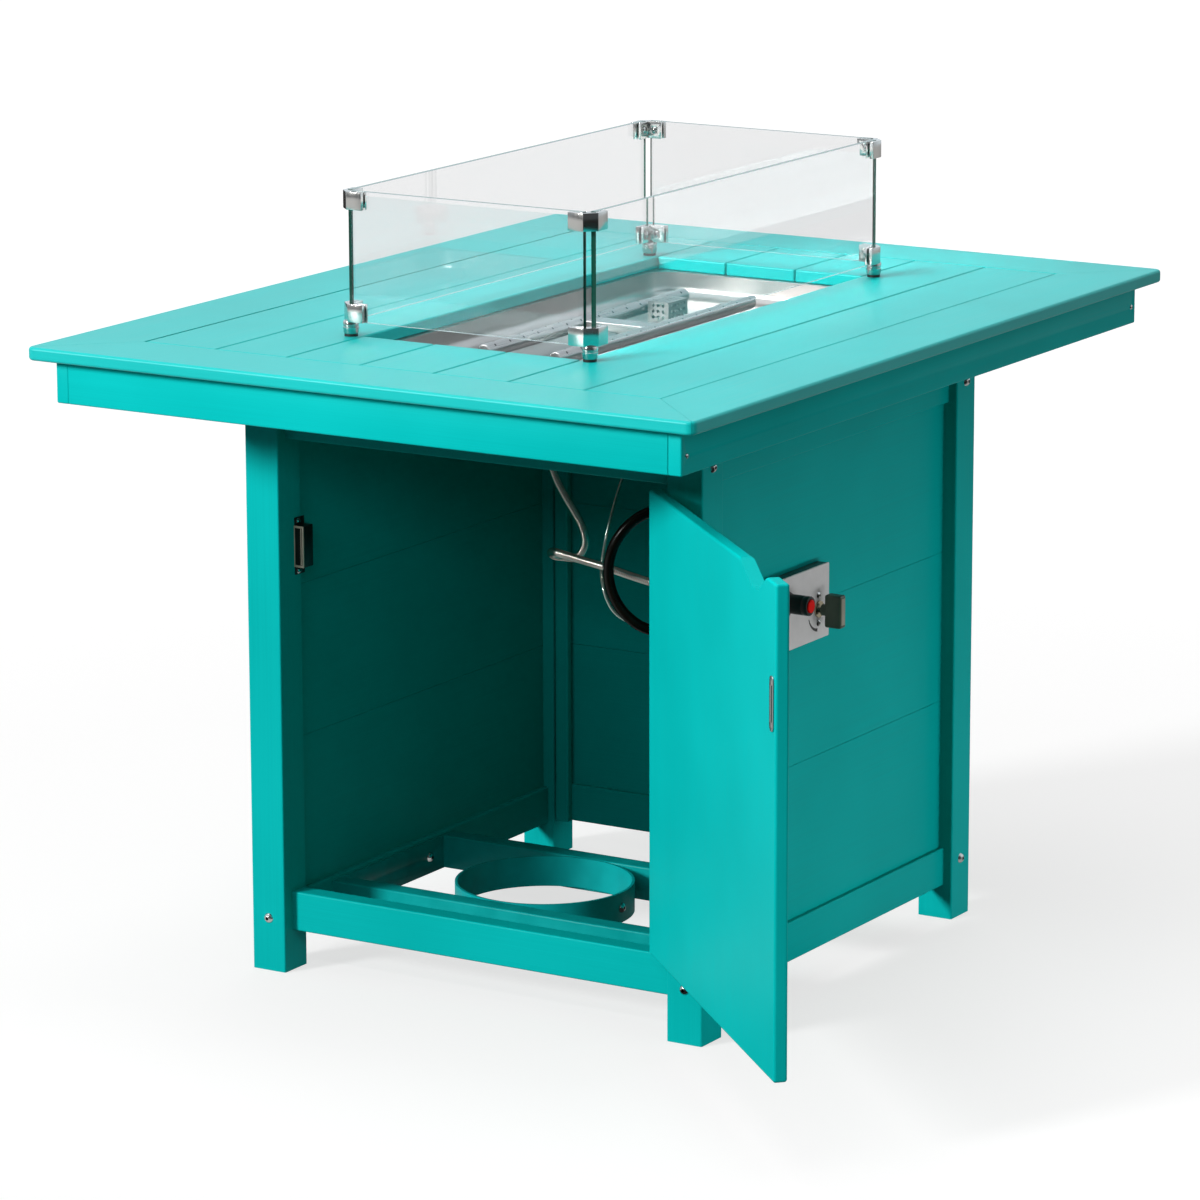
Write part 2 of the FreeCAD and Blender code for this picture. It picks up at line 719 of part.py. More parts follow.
def end_plate(side):
    strip = block(f"{side} * ({plate_in_x} + end_plate / 2)", "tank_y", "cradle_low", "end_plate",
                  f"2 * {bar_far}", "cradle_height")
    return cut(strip, cradle_holes)


node("tank_cradle", group([cradle_bar(-1), cradle_bar(1), end_plate(-1), end_plate(1)]))
ring_low = f"({cradle_top} - ring_height)"
ring = cut(rod("tank_x", "tank_y", ring_low, "ring_radius", "ring_height"),
           rod("tank_x", "tank_y", ring_low, "ring_radius - ring_wall", "ring_height"))
clamp_bolt = dome_bolt("bolt_head_radius", "bolt_head_height", "bolt_radius", "ring_wall + weld_gap")
clamp_hole = bolt_hole("bolt_radius", "2 * ring_wall")
clamp_spots = [("tank_x + ring_radius + weld_gap", "tank_y", f"{ring_low} + ring_height / 2", "+x")]
clamp_bolts, clamp_holes = fastened(clamp_bolt, clamp_hole, clamp_spots)
node("tank_ring", cut(ring, clamp_holes))
node("tank_bolts", group([cradle_bolts, clamp_bolts]))

# Burner pan: a pressed tray hung by its flange under the boards
def tray(grow, low):
    """The tray's hollow, or its outside when grown by the wall."""
    solid = block("0", "opening_shift", low, f"{PAN_WIDTH} + 2 * {grow}", f"{PAN_LENGTH} + 2 * {grow}",
                  f"{UNDERSIDE} - {low}")
    solid = rounded(solid, f"pan_corner + {grow}", runs_along("z"))
    return rounded(solid, f"pan_floor_round + {grow}", level_at(low))


flange = block("0", "opening_shift", f"{UNDERSIDE} - pan_wall", f"{OPEN_WIDTH} + 2 * pan_flange",
               "opening_length + 2 * pan_flange", "pan_wall")
pan_low = f"({UNDERSIDE} - pan_depth)"
pan = cut(fuse(tray("pan_wall", pan_low), flange), tray("0", PAN_FLOOR))
inlet_hole = rod("0", "opening_shift", f"{pan_low} - pan_wall", "inlet_radius + hole_clearance",
                 "3 * pan_wall")
electrode_hole = rod("cage_x", CAGE_Y, f"{pan_low} - pan_wall", "electrode_radius + hole_clearance",
                     "3 * pan_wall")
node("burner_pan", cut(pan, inlet_hole, electrode_hole))

# H burner: two drilled tubes, a cross piece, four feet and the gas inlet with its nut
tube_end = "(burner_length / 2)"


def burner_tube(side):
    x = f"{side} * burner_spacing / 2"
    front = f"(opening_shift - {tube_end})"
    solid = rounded(rod(x, front, TUBE_Z, "burner_tube_radius", "burner_length", "+y"), "burner_tube_wall")
    bore = rod(x, f"{front} + burner_tube_wall", TUBE_Z, "burner_tube_radius - burner_tube_wall",
               "burner_length - 2 * burner_tube_wall", "+y")
    drill = rod("0", "0", "0", "gas_hole_radius", "burner_tube_radius + burner_tube_wall")
    holes_along = [(x, f"opening_shift + ({i} - {GAS_HOLES - 1} / 2) * gas_hole_pitch", TUBE_Z, "+z")
                   for i in range(GAS_HOLES)]
    return cut(solid, bore, copies(drill, holes_along))


def burner_foot(side, way):
    return block(f"{side} * burner_spacing / 2", f"opening_shift + {way} * ({tube_end} - burner_foot_inset)",
                 PAN_FLOOR, "burner_foot_width", "burner_foot_thickness", "burner_foot - weld_gap")


cross_low = f"({TUBE_Z} - cross_height / 2)"
cross_span = "(burner_spacing - 2 * (burner_tube_radius + weld_gap))"
cross = rounded(block("0", "opening_shift", cross_low, cross_span, "cross_width", "cross_height"),
                "burner_tube_wall")
inlet_low = f"({pan_low} - inlet_drop)"
inlet = fuse(rod("0", "opening_shift", inlet_low, "inlet_radius", f"{cross_low} - {inlet_low}"),
             rod("0", "opening_shift", f"{pan_low} - inlet_nut_height", "inlet_nut_radius",
                 "inlet_nut_height"))
feet = [burner_foot(side, way) for side in (1, -1) for way in (1, -1)]
node("burner", group([burner_tube(-1), burner_tube(1), cross, inlet] + feet))

# Pilot cage: a perforated cover on two feet over the electrode
cage_low = f"({PAN_FLOOR} + cage_lift)"
shell = cut(block("cage_x", CAGE_Y, cage_low, "cage_width", "cage_length", "cage_height"),
            block("cage_x", CAGE_Y, cage_low, "cage_width - 2 * cage_wall", "cage_length - 2 * cage_wall",
                  "cage_height - cage_wall"))
hole_step = "(3.4 * cage_hole_radius)"
cage_mid = f"({cage_low} + cage_height / 2)"
across = rod("0", "0", "-cage_width", "cage_hole_radius", "2 * cage_width")
along = rod("0", "0", "-cage_length", "cage_hole_radius", "2 * cage_length")
upward = rod("0", "0", "0", "cage_hole_radius", "cage_height")
rows = (-1, 0, 1)
columns = (-2, -1, 0, 1, 2)
across_spots = [("cage_x", f"{CAGE_Y} + {j} * {hole_step}", f"{cage_mid} + {i} * {hole_step}", "+x")
                for i in rows for j in columns]
along_spots = [(f"cage_x + {j} * {hole_step}", CAGE_Y, f"{cage_mid} + {i} * {hole_step}", "+y")
               for i in rows for j in rows]
upward_spots = [(f"cage_x + {i} * {hole_step}", f"{CAGE_Y} + {j} * {hole_step}", cage_mid, "+z")
                for i in rows for j in columns]
shell = cut(shell, copies(across, across_spots), copies(along, along_spots), copies(upward, upward_spots))
cage_feet = [block("cage_x", f"{CAGE_Y} + {way} * (cage_length - cage_foot) / 2", PAN_FLOOR, "cage_width",
                   "cage_foot", "cage_lift + cage_wall") for way in (1, -1)]
node("pilot_cage", fuse(shell, *cage_feet))
electrode_low = f"({pan_low} - electrode_drop)"
node("ignition_electrode", rod("cage_x", CAGE_Y, electrode_low, "electrode_radius",
                               f"{cage_low} + electrode_top - {electrode_low}"))

# Control box, a sleeve through the right wall, and the plate that closes it
sleeve = bar(f"{PLATE_IN} - box_depth", PLATE_IN, f"plate_y - {box_width} / 2", f"plate_y + {box_width} / 2",
             f"plate_z - {box_height} / 2", f"plate_z + {box_height} / 2")
hollow = bar(f"{PLATE_IN} - box_depth", PLATE_IN, f"plate_y - {box_width} / 2 + box_wall",
             f"plate_y + {box_width} / 2 - box_wall", f"plate_z - {box_height} / 2 + box_wall",
             f"plate_z + {box_height} / 2 - box_wall")
node("control_box", cut(sleeve, hollow))
valve_spots = [(PLATE_OUT, "valve_y", f"valve_z + {way} * valve_screw_spread", "+x") for way in (1, -1)]
valve_screws, valve_holes = fastened(trim_screw, trim_hole, valve_spots)
plate = block(f"{PLATE_IN} + plate_thickness / 2", "plate_y", "plate_z - plate_height / 2", "plate_thickness",
              "plate_width", "plate_height")
bush_hole = rod(PLATE_IN, "valve_y", "valve_z", "valve_bush_radius + hole_clearance", "plate_thickness", "+x")
barrel_hole = rod(PLATE_IN, "igniter_y", "igniter_z", "igniter_barrel_radius + hole_clearance",
                  "plate_thickness", "+x")
node("control_plate", cut(rounded(plate, "box_wall", runs_along("x")), bush_hole, barrel_hole, valve_holes))
node("trim_screws", group([catch_screws, valve_screws]))

# Valve: body with bush and nut, outlet nipple, then the plunger, stem and paddle knob
body = bar(VALVE_BACK, PLATE_IN, "valve_y - valve_width / 2", "valve_y + valve_width / 2",
           "valve_z - valve_height / 2", "valve_z + valve_height / 2")
ears = block(f"{PLATE_IN} - plate_thickness", "valve_y", "valve_z - valve_screw_spread - screw_head_radius",
             "2 * plate_thickness", "2 * screw_head_radius", "2 * (valve_screw_spread + screw_head_radius)")
bush = rod(PLATE_IN, "valve_y", "valve_z", "valve_bush_radius", "plate_thickness", "+x")
valve_nut = rod(PLATE_OUT, "valve_y", "valve_z", "valve_nut_radius", "valve_nut_height", "+x")
outlet = rod(f"{VALVE_BACK} - outlet_length", "valve_y", "valve_z", "outlet_radius", "outlet_length", "+x")
chamber_back = f"({PLATE_IN} - valve_chamber_depth)"
chamber = rod(chamber_back, "valve_y", "valve_z", "valve_chamber_radius",
              f"{PLATE_IN} - {chamber_back}", "+x")
stem_bore = rod(chamber_back, "valve_y", "valve_z", "stem_radius + running_clearance",
                f"{NUT_FACE} - {chamber_back}", "+x")
node("valve_body", cut(fuse(body, ears, bush, valve_nut, outlet), chamber, stem_bore, valve_holes))
plunger_x = f"({chamber_back} + valve_chamber_depth / 2)"
node("valve_plunger", rod(plunger_x, "valve_y", "valve_z", "valve_chamber_radius - plunger_clearance",
                          "plunger_thickness", "+x"))
stem_back = f"({plunger_x} + plunger_thickness)"
stem_front = f"({KNOB_BACK} + knob_depth / 2)"
node("valve_stem", rod(stem_back, "valve_y", "valve_z", "stem_radius", f"{stem_front} - {stem_back}", "+x"))
collar = rod(KNOB_BACK, "valve_y", "valve_z", "knob_collar_radius", "knob_collar_depth", "+x")
paddle = bar(f"{KNOB_BACK} + knob_collar_depth / 2", f"{KNOB_BACK} + knob_depth", "valve_y - knob_width / 2",
             "valve_y + knob_width / 2", "valve_z - knob_height / 2", "valve_z + knob_height / 2")
knob_bore = rod(KNOB_BACK, "valve_y", "valve_z", "stem_radius + hole_clearance",
                f"{stem_front} - {KNOB_BACK}", "+x")
node("valve_knob", cut(fuse(collar, rounded(paddle, "knob_round")), knob_bore))

# Piezo igniter with its push button
igniter_front = f"({PLATE_OUT} + igniter_length)"
barrel_back = f"({PLATE_OUT} - igniter_barrel_length)"
tail_back = f"({barrel_back} - igniter_tail_length)"
case = fuse(rounded(rod(PLATE_OUT, "igniter_y", "igniter_z", "igniter_radius", "igniter_length", "+x"),
                    "plate_thickness / 2"),
            rod(PLATE_OUT, "igniter_y", "igniter_z", "igniter_flange_radius", "igniter_flange_depth", "+x"),
            rod(barrel_back, "igniter_y", "igniter_z", "igniter_barrel_radius", "igniter_barrel_length",
                "+x"),
            rod(tail_back, "igniter_y", "igniter_z", "igniter_tail_radius", "igniter_tail_length", "+x"))
button_bore = rod(f"{igniter_front} - button_bore_depth", "igniter_y", "igniter_z",
                  "button_radius + button_clearance", "button_bore_depth", "+x")
node("igniter_body", cut(case, button_bore))
button = rod(f"{igniter_front} + button_proud - button_length", "igniter_y", "igniter_z", "button_radius",
             "button_length", "+x")
node("igniter_button", rounded(button, "plate_thickness / 2"))


# Cords and hoses
def arc_from(start, heading, end):
    """The arc that leaves start along heading and reaches end."""
    chord = end - start
    normal = chord - heading * chord.dot(heading)
    if normal.Length < 1e-7:
        return Part.LineSegment(start, end).toShape(), heading
    normal.normalize()
    radius = chord.Length ** 2 / (2 * chord.dot(normal))
    centre = start + normal * radius
    middle = (start + end) * 0.5 - centre
    middle.normalize()
    way_out = heading * -1 + chord * (2 * heading.dot(chord) / chord.Length ** 2)
    return Part.Arc(start, centre + middle * radius, end).toShape(), way_out


def biarc(start, heading, end, way_in):
    """Two tangent arcs between two points with given headings."""
    chord = end - start
    both = heading + way_in
    lack = 2 * (1 - heading.dot(way_in))
    reach = (-chord.dot(both) + math.sqrt(chord.dot(both) ** 2 + lack * chord.dot(chord))) / lack
    joint = (start + heading * reach + end - way_in * reach) * 0.5
    first, turned = arc_from(start, heading, joint)
    second, _ = arc_from(joint, turned, end)
    return [first, second]


def bent_route(name, points):
    """Straight runs through the points, joined by tangent arcs as large as the runs allow."""
    edges = []
    radii = []
    start = points[0]
    for before, corner, after in zip(points, points[1:], points[2:]):
        way_in = (corner - before).normalize()
        way_out = (after - corner).normalize()
        turn = way_in.getAngle(way_out)
        reach = 0.45 * min((corner - before).Length, (after - corner).Length)
        radius = reach / math.tan(turn / 2)
        enter = corner - way_in * reach
        leave = corner + way_out * reach
        inward = (way_out - way_in).normalize()
        middle = corner + inward * (math.hypot(radius, reach) - radius)
        edges += [Part.LineSegment(start, enter).toShape(), Part.Arc(enter, middle, leave).toShape()]
        radii.append(round(radius, 1))
        start = leave
    edges.append(Part.LineSegment(start, points[-1]).toShape())
    print(f"{name} radii {radii}")
    return edges


def tube(name, edges, radius):
    """A solid tube along a chain of tangent edges."""
    path = Part.Wire(edges)
    first = edges[0]
    start = first.valueAt(first.FirstParameter)
    section = Part.Wire(Part.Circle(start, first.tangentAt(first.FirstParameter), radius).toShape())
    solid = path.makePipeShell([section], True, False)
    ratio = solid.Volume / (math.pi * radius ** 2 * path.Length)
    print(f"{name} length {path.Length:.1f} volume ratio {ratio:.4f}")
    item = doc.addObject("Part::Feature", name)
    item.Shape = solid
    return item


doc.recompute()
valve_point = Vector(size(f"{VALVE_BACK} - outlet_length"), size("valve_y"), size("valve_z"))
inlet_point = Vector(0, size("opening_shift"), size(inlet_low))
exit_run = size("cord_exit")
PIPE_POINTS = [Vector(161, -58, 441), Vector(120, -69, 446), Vector(80, -81, 456), Vector(39, -92, 468),
               Vector(9, -100, 475), Vector(-14, -101, 479), Vector(-37, -84, 476), Vector(-50, -60, 465),
               Vector(-45, -44, 460), Vector(-30, -38, 459), Vector(-20, -36, 473), Vector(-20, -36, 489),
               Vector(-32, -35, 509), Vector(-49, -32, 528), Vector(-69, -27, 553), Vector(-81, -20, 582),
               Vector(-75, -10, 608), Vector(-53, -1, 629), Vector(-29, 4, 642), Vector(-10, 7, 654)]
pipe_route = [valve_point, valve_point - Vector(exit_run, 0, 0)] + PIPE_POINTS
pipe_route += [inlet_point - Vector(0, 0, exit_run), inlet_point]
node("gas_pipe", tube("gas_pipe", bent_route("gas_pipe", pipe_route), size("pipe_radius")))

electrode_point = Vector(size("cage_x"), size(CAGE_Y), size(electrode_low))
igniter_point = Vector(size(tail_back), size("igniter_y"), size("igniter_z"))
WIRE_POINTS = [Vector(-20, 137, 650), Vector(-13, 108, 629), Vector(0, 62, 603), Vector(14, 12, 578),
               Vector(27, -34, 557), Vector(33, -62, 530), Vector(32, -75, 500), Vector(29, -78, 477),
               Vector(30, -83, 461), Vector(50, -114, 455), Vector(57, -118, 439), Vector(67, -117, 422),
               Vector(83, -112, 413), Vector(106, -106, 402), Vector(133, -104, 389), Vector(164, -108, 386),
               Vector(193, -117, 397), Vector(212, -123, 421), Vector(224, -124, 443)]
wire_route = [electrode_point, electrode_point - Vector(0, 0, exit_run)] + WIRE_POINTS
wire_route += [igniter_point - Vector(exit_run, 0, 0), igniter_point]
node("ignition_wire", tube("ignition_wire", bent_route("ignition_wire", wire_route), size("wire_radius")))

# Gas hose: straight out of the elbow's ferrule, round the loop, then down to the regulator
heading = math.radians(size("loop_heading"))
rightward = Vector(math.cos(heading), math.sin(heading), 0)
toward = Vector(math.sin(heading), -math.cos(heading), 0)
upward_axis = Vector(0, 0, 1)
elbow_x = f"({PLATE_IN} - box_depth - elbow_radius - elbow_clearance)"
elbow_z = "(valve_z - valve_height / 2 - elbow_drop)"
elbow_point = Vector(size(elbow_x), size("valve_y"), size(elbow_z))
loop_radius = size("loop_radius")
loop_centre = elbow_point - rightward * size("hose_reach") + upward_axis * loop_radius
advance = size("loop_advance")


def loop_point(quarter):
    turn = quarter * math.pi / 2
    return (loop_centre - rightward * (loop_radius * math.sin(turn))
            - upward_axis * (loop_radius * math.cos(turn)) + toward * (advance * quarter))


def loop_heading(quarter):
    turn = quarter * math.pi / 2
    drift = 0 if quarter in (0, LOOP_QUARTERS) else advance * 2 / math.pi
    way = (rightward * (-loop_radius * math.cos(turn)) + upward_axis * (loop_radius * math.sin(turn))
           + toward * drift)
    return way.normalize()


ferrule_point = elbow_point - rightward * size("ferrule_length")
loop_end = loop_point(LOOP_QUARTERS)
tail_point = loop_end - upward_axis * size("hose_tail")
hose_edges = [Part.LineSegment(ferrule_point, loop_point(0)).toShape()]
for quarter in range(LOOP_QUARTERS):
    hose_edges += biarc(loop_point(quarter), loop_heading(quarter), loop_point(quarter + 1),
                        loop_heading(quarter + 1))
hose_edges.append(Part.LineSegment(loop_end, tail_point).toShape())
node("gas_hose", tube("gas_hose", hose_edges, size("hose_radius")))

hose_points = [point for edge in hose_edges for point in edge.discretize(Distance=size("hose_radius") / 2)]
apart = math.pi * loop_radius / 2
step = size("hose_radius") / 2
skip = int(apart / step)
least = min((a - b).Length for i, a in enumerate(hose_points) for b in hose_points[i + skip:])
print(f"gas_hose least gap to itself {least - 2 * size('hose_radius'):.2f}")


def turned_rod(start, way, radius, length):
    item = bind(doc.addObject("Part::Cylinder", "TurnedRod"), {"Radius": radius, "Height": length})
    item.Placement = Placement(start, Rotation(Vector(0, 0, 1), way))
    return item


drop = rod(elbow_x, "valve_y", f"{elbow_z} - elbow_radius", "elbow_radius", "elbow_drop + elbow_radius")
ferrule = turned_rod(elbow_point, rightward * -1, "ferrule_radius", "ferrule_length")
node("hose_elbow", fuse(drop, ferrule))

# Regulator at the hose's far end, hanging down, with its hand nut on the neck
reg_x = repr(round(tail_point.x, 6))
reg_y = repr(round(tail_point.y, 6))
reg_z = repr(round(tail_point.z, 6))
reg_mid = f"({reg_z} - ferrule_length - regulator_radius)"
reg_neck_top = f"({reg_mid} - regulator_radius)"
cap = rod(reg_x, reg_y, f"{reg_z} - ferrule_length - regulator_radius / 2", "ferrule_radius",
          "ferrule_length + regulator_radius / 2")
drum = rounded(rod(reg_x, f"{reg_y} - regulator_depth / 2", reg_mid, "regulator_radius", "regulator_depth",
                   "+y"), "bar_wall")
neck = rod(reg_x, reg_y, f"{reg_neck_top} - regulator_neck_length", "regulator_neck_radius",
           "regulator_neck_length + regulator_radius")
nut_stop = rod(reg_x, reg_y, f"{reg_neck_top} - regulator_neck_length - nut_stop_length", "nut_stop_radius",
               "nut_stop_length")
node("regulator", fuse(cap, drum, neck, nut_stop))
nut_low = f"({reg_neck_top} - regulator_neck_length + weld_gap)"
nut = rounded(rod(reg_x, reg_y, nut_low, "hand_nut_radius", "hand_nut_length"), "bar_wall")
node("regulator_nut", cut(nut, rod(reg_x, reg_y, nut_low, "regulator_neck_radius + running_clearance",
                                   "hand_nut_length")))

# Glass guard: four panes, a chamfered clamp and an inner plate at each corner, posts and pads below
pane_x = "(guard_width / 2 - glass_thickness / 2)"
pane_y = "(guard_length / 2 - glass_thickness / 2)"
panes = [block("0", f"opening_shift + {way} * {pane_y}", GUARD_LOW, "guard_width - 2 * glass_inset",
               "glass_thickness", "glass_height") for way in (-1, 1)]
panes += [block(f"{way} * {pane_x}", "opening_shift", GUARD_LOW, "glass_thickness",
                "guard_length - 2 * glass_inset", "glass_height") for way in (-1, 1)]

web_reach = "(glass_inset - clamp_web_clearance)"
lip = "(-glass_clearance)"
clamp_out = "(-clamp_thickness)"
plate_back = "(glass_thickness + glass_clearance)"
plate_front = f"({plate_back} + clamp_plate)"
screw_grip = f"({plate_front} + clamp_thickness / 2)"
guard_screw = dome_bolt("screw_head_radius", "screw_head_height", "screw_radius", screw_grip)
guard_hole = bolt_hole("screw_radius", screw_grip)
screw_mid = "clamp_height / 2"
corner_spots = [("clamp_screw_from_corner", plate_front, screw_mid, "+y"),
                (plate_front, "clamp_screw_from_corner", screw_mid, "+x")]
corner_screws, corner_holes = fastened(guard_screw, guard_hole, corner_spots)
pane_holes = copies(bolt_hole("(screw_radius + glass_hole_clearance)", screw_grip), corner_spots)


def corner_pair(x0, x1, y0, y1):
    """A bar along X and its mirror along Y."""
    return [bar(x0, x1, y0, y1, "0", "clamp_height"), bar(y0, y1, x0, x1, "0", "clamp_height")]


clamp_blank = fuse(*corner_pair(clamp_out, "clamp_wing", clamp_out, lip),
                   *corner_pair(clamp_out, web_reach, clamp_out, "glass_thickness"))
doc.recompute()
chamfer_reach = 2 * size(clamp_out) + 1e-6
chamfer_edge = [edge for edge in clamp_blank.Shape.Edges
                if runs_along("z")(edge) and edge.BoundBox.XMax + edge.BoundBox.YMax < chamfer_reach]
clamp_body = doc.addObject("Part::Chamfer", "ClampChamfer")
clamp_body.Base = clamp_blank
clamp_body.Edges = [(i, size("clamp_chamfer"), size("clamp_chamfer"))
                    for i, edge in enumerate(clamp_blank.Shape.Edges, start=1)
                    if edge.isSame(chamfer_edge[0])]
clamp_body = cut(clamp_body, corner_holes)
inner_plate = cut(fuse(*corner_pair(plate_back, "clamp_wing", plate_back, plate_front)), corner_holes)
foot_post = rounded(rod("post_inset", "post_inset", "-post_height", "post_radius", "post_height"),
                    "clamp_plate / 2")
foot_pad = rod("post_inset", "post_inset", "-post_height - pad_height", "pad_radius", "pad_height")


def at_corners(master, heights):
    """Copies of a corner piece at the guard's four corners, turned to face its middle."""
    doc.recompute()
    shapes = []
    for height in heights:
        for turn, x, y in ((0, -1, -1), (90, 1, -1), (180, 1, 1), (270, -1, 1)):
            shape = master.Shape.copy()
            corner = Vector(size(f"{x} * guard_width / 2"), size(f"opening_shift + {y} * guard_length / 2"),
                            size(height))
            shape.Placement = Placement(corner, Rotation(Vector(0, 0, 1), turn)) * shape.Placement
            shapes.append(shape)
    item = doc.addObject("Part::Feature", "Corners")
    item.Shape = Part.makeCompound(shapes)
    return item


clamp_levels = (GUARD_LOW, f"{GUARD_LOW} + glass_height - clamp_drop - clamp_height")
drilled = at_corners(pane_holes, clamp_levels)
node("guard_panes", group([cut(pane, drilled) for pane in panes]))
node("guard_clamps", at_corners(clamp_body, clamp_levels))
node("guard_plates", at_corners(inner_plate, clamp_levels))
node("guard_screws", at_corners(corner_screws, clamp_levels))
node("guard_posts", at_corners(foot_post, (GUARD_LOW,)))
node("guard_pads", at_corners(foot_pad, (GUARD_LOW,)))

# Check every object, then write one file for each sub-part
doc.recompute()
for item in doc.Objects:
    if "Invalid" in item.State or "Error" in item.State:
        raise RuntimeError(f"{item.Name} ({item.Label}) failed: {item.State}")
for name, item in nodes.items():
    if item.Shape.isNull() or not item.Shape.isValid() or not item.Shape.Solids:
        raise RuntimeError(f"{name} has no valid solid")

os.makedirs("parts", exist_ok=True)
for name, item in nodes.items():
    item.Shape.exportStep(f"parts/{name}.step")
print(f"{len(nodes)} nodes, {sum(len(item.Shape.Solids) for item in nodes.values())} solids")
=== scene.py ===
"""Looks of a patio fire pit table: poly boards, a steel burner inside a glass guard, and gas fittings."""
import json
import math

import bmesh
import bpy
from mathutils import Matrix, Vector


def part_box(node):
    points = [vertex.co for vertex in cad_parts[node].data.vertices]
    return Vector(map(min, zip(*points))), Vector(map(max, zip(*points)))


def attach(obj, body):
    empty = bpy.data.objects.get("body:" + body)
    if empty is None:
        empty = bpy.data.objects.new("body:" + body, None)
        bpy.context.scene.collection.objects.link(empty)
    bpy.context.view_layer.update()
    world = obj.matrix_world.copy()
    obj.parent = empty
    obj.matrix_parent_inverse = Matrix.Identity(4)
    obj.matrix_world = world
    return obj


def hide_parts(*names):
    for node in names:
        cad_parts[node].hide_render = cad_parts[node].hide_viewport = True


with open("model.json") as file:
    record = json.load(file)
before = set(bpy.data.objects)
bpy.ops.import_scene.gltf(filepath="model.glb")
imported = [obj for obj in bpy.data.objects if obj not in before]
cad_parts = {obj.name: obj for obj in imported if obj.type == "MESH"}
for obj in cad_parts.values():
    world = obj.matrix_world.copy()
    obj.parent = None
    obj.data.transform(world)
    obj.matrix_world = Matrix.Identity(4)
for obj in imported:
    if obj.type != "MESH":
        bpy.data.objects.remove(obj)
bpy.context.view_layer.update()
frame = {"nodes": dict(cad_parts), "record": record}
scene = bpy.context.scene
scene.view_settings.view_transform = "Standard"

MM = 0.001
BODY_OF = {node: body for body, nodes in frame["record"]["behaviour"]["bodies"].items() for node in nodes}

# Camera at the photograph's place
IMAGE_SIDE = 1200
SENSOR_WIDTH = 36.0
FOCAL_PIXELS = 5572.3
CAMERA_PLACE = Vector((3.24548, -5.36718, 1.83933))
CAMERA_YAW = 0.5469
CAMERA_PITCH = -0.2246
CAMERA_ROLL = -0.0024


def photo_camera():
    data = bpy.data.cameras.new("photo_camera")
    data.sensor_width = SENSOR_WIDTH
    data.lens = FOCAL_PIXELS * SENSOR_WIDTH / IMAGE_SIDE
    camera = bpy.data.objects.new("photo_camera", data)
    camera.matrix_world = (Matrix.Translation(CAMERA_PLACE) @ Matrix.Rotation(CAMERA_YAW, 4, "Z")
                           @ Matrix.Rotation(math.pi / 2 + CAMERA_PITCH, 4, "X")
                           @ Matrix.Rotation(CAMERA_ROLL, 4, "Z"))
    scene.collection.objects.link(camera)
    scene.camera = camera


# Node helpers
FINE = 3.0
SOFT = 2.0
MIDDLE_RANGE = (0.3, 0.7)


def put(tree, kind, values=None, **settings):
    """Add a shader node; a value that is a socket is linked, any other is set on the node's own socket."""
    item = tree.nodes.new("ShaderNode" + kind)
    for key, value in settings.items():
        setattr(item, key, value)
    for socket, value in (values or {}).items():
        if isinstance(value, bpy.types.NodeSocket):
            tree.links.new(value, item.inputs[socket])
        else:
            item.inputs[socket].default_value = value
    return item


def sums(tree, operation, first, second):
    return put(tree, "Math", {0: first, 1: second}, operation=operation).outputs[0]


def mixed(tree, factor, first, second):
    """The first colour where the factor is 0, and the second where it is 1."""
    return put(tree, "MixRGB", {"Fac": factor, "Color1": first, "Color2": second}).outputs[0]


def noise(tree, scale, detail=FINE):
    """Noise on Object coordinates, with a count per metre for each axis."""
    coords = put(tree, "TexCoord").outputs["Object"]
    scaled = put(tree, "Mapping", {"Vector": coords, "Scale": scale}).outputs["Vector"]
    return put(tree, "TexNoise", {"Vector": scaled, "Scale": 1.0, "Detail": detail}).outputs[0]


def spread(tree, factor, low, high, low_at=MIDDLE_RANGE[0], high_at=MIDDLE_RANGE[1]):
    """A number that runs from low to high as the factor crosses its middle range."""
    return put(tree, "MapRange", {"Value": factor, "From Min": low_at, "From Max": high_at, "To Min": low,
                                  "To Max": high}).outputs[0]


def shades(tree, factor, dark, light, dark_at=MIDDLE_RANGE[0], light_at=MIDDLE_RANGE[1]):
    ramp = put(tree, "ValToRGB", {"Fac": factor})
    for element, position, colour in zip(ramp.color_ramp.elements, (dark_at, light_at), (dark, light)):
        element.position = position
        element.color = (*colour, 1.0)
    return ramp.outputs["Color"]


def bounce_toned(tree, seen, thrown):
    """The colour that is seen, and a duller one for the light that a piece throws on others."""
    return mixed(tree, put(tree, "LightPath").outputs["Is Diffuse Ray"], seen, (*thrown, 1.0))


def relief(tree, height, depth):
    """A bump of that depth in metres."""
    return put(tree, "Bump", {"Height": height, "Distance": depth, "Strength": 1.0}).outputs["Normal"]


def finish(name, constants, linked):
    """A material with these constant sockets; linked(tree) gives the sockets that nodes drive."""
    material = bpy.data.materials.new(name)
    material.use_nodes = True
    tree = material.node_tree
    skin = tree.nodes["Principled BSDF"]
    for socket, value in constants.items():
        skin.inputs[socket].default_value = value
    for socket, source in linked(tree).items():
        tree.links.new(source, skin.inputs[socket])
    return material


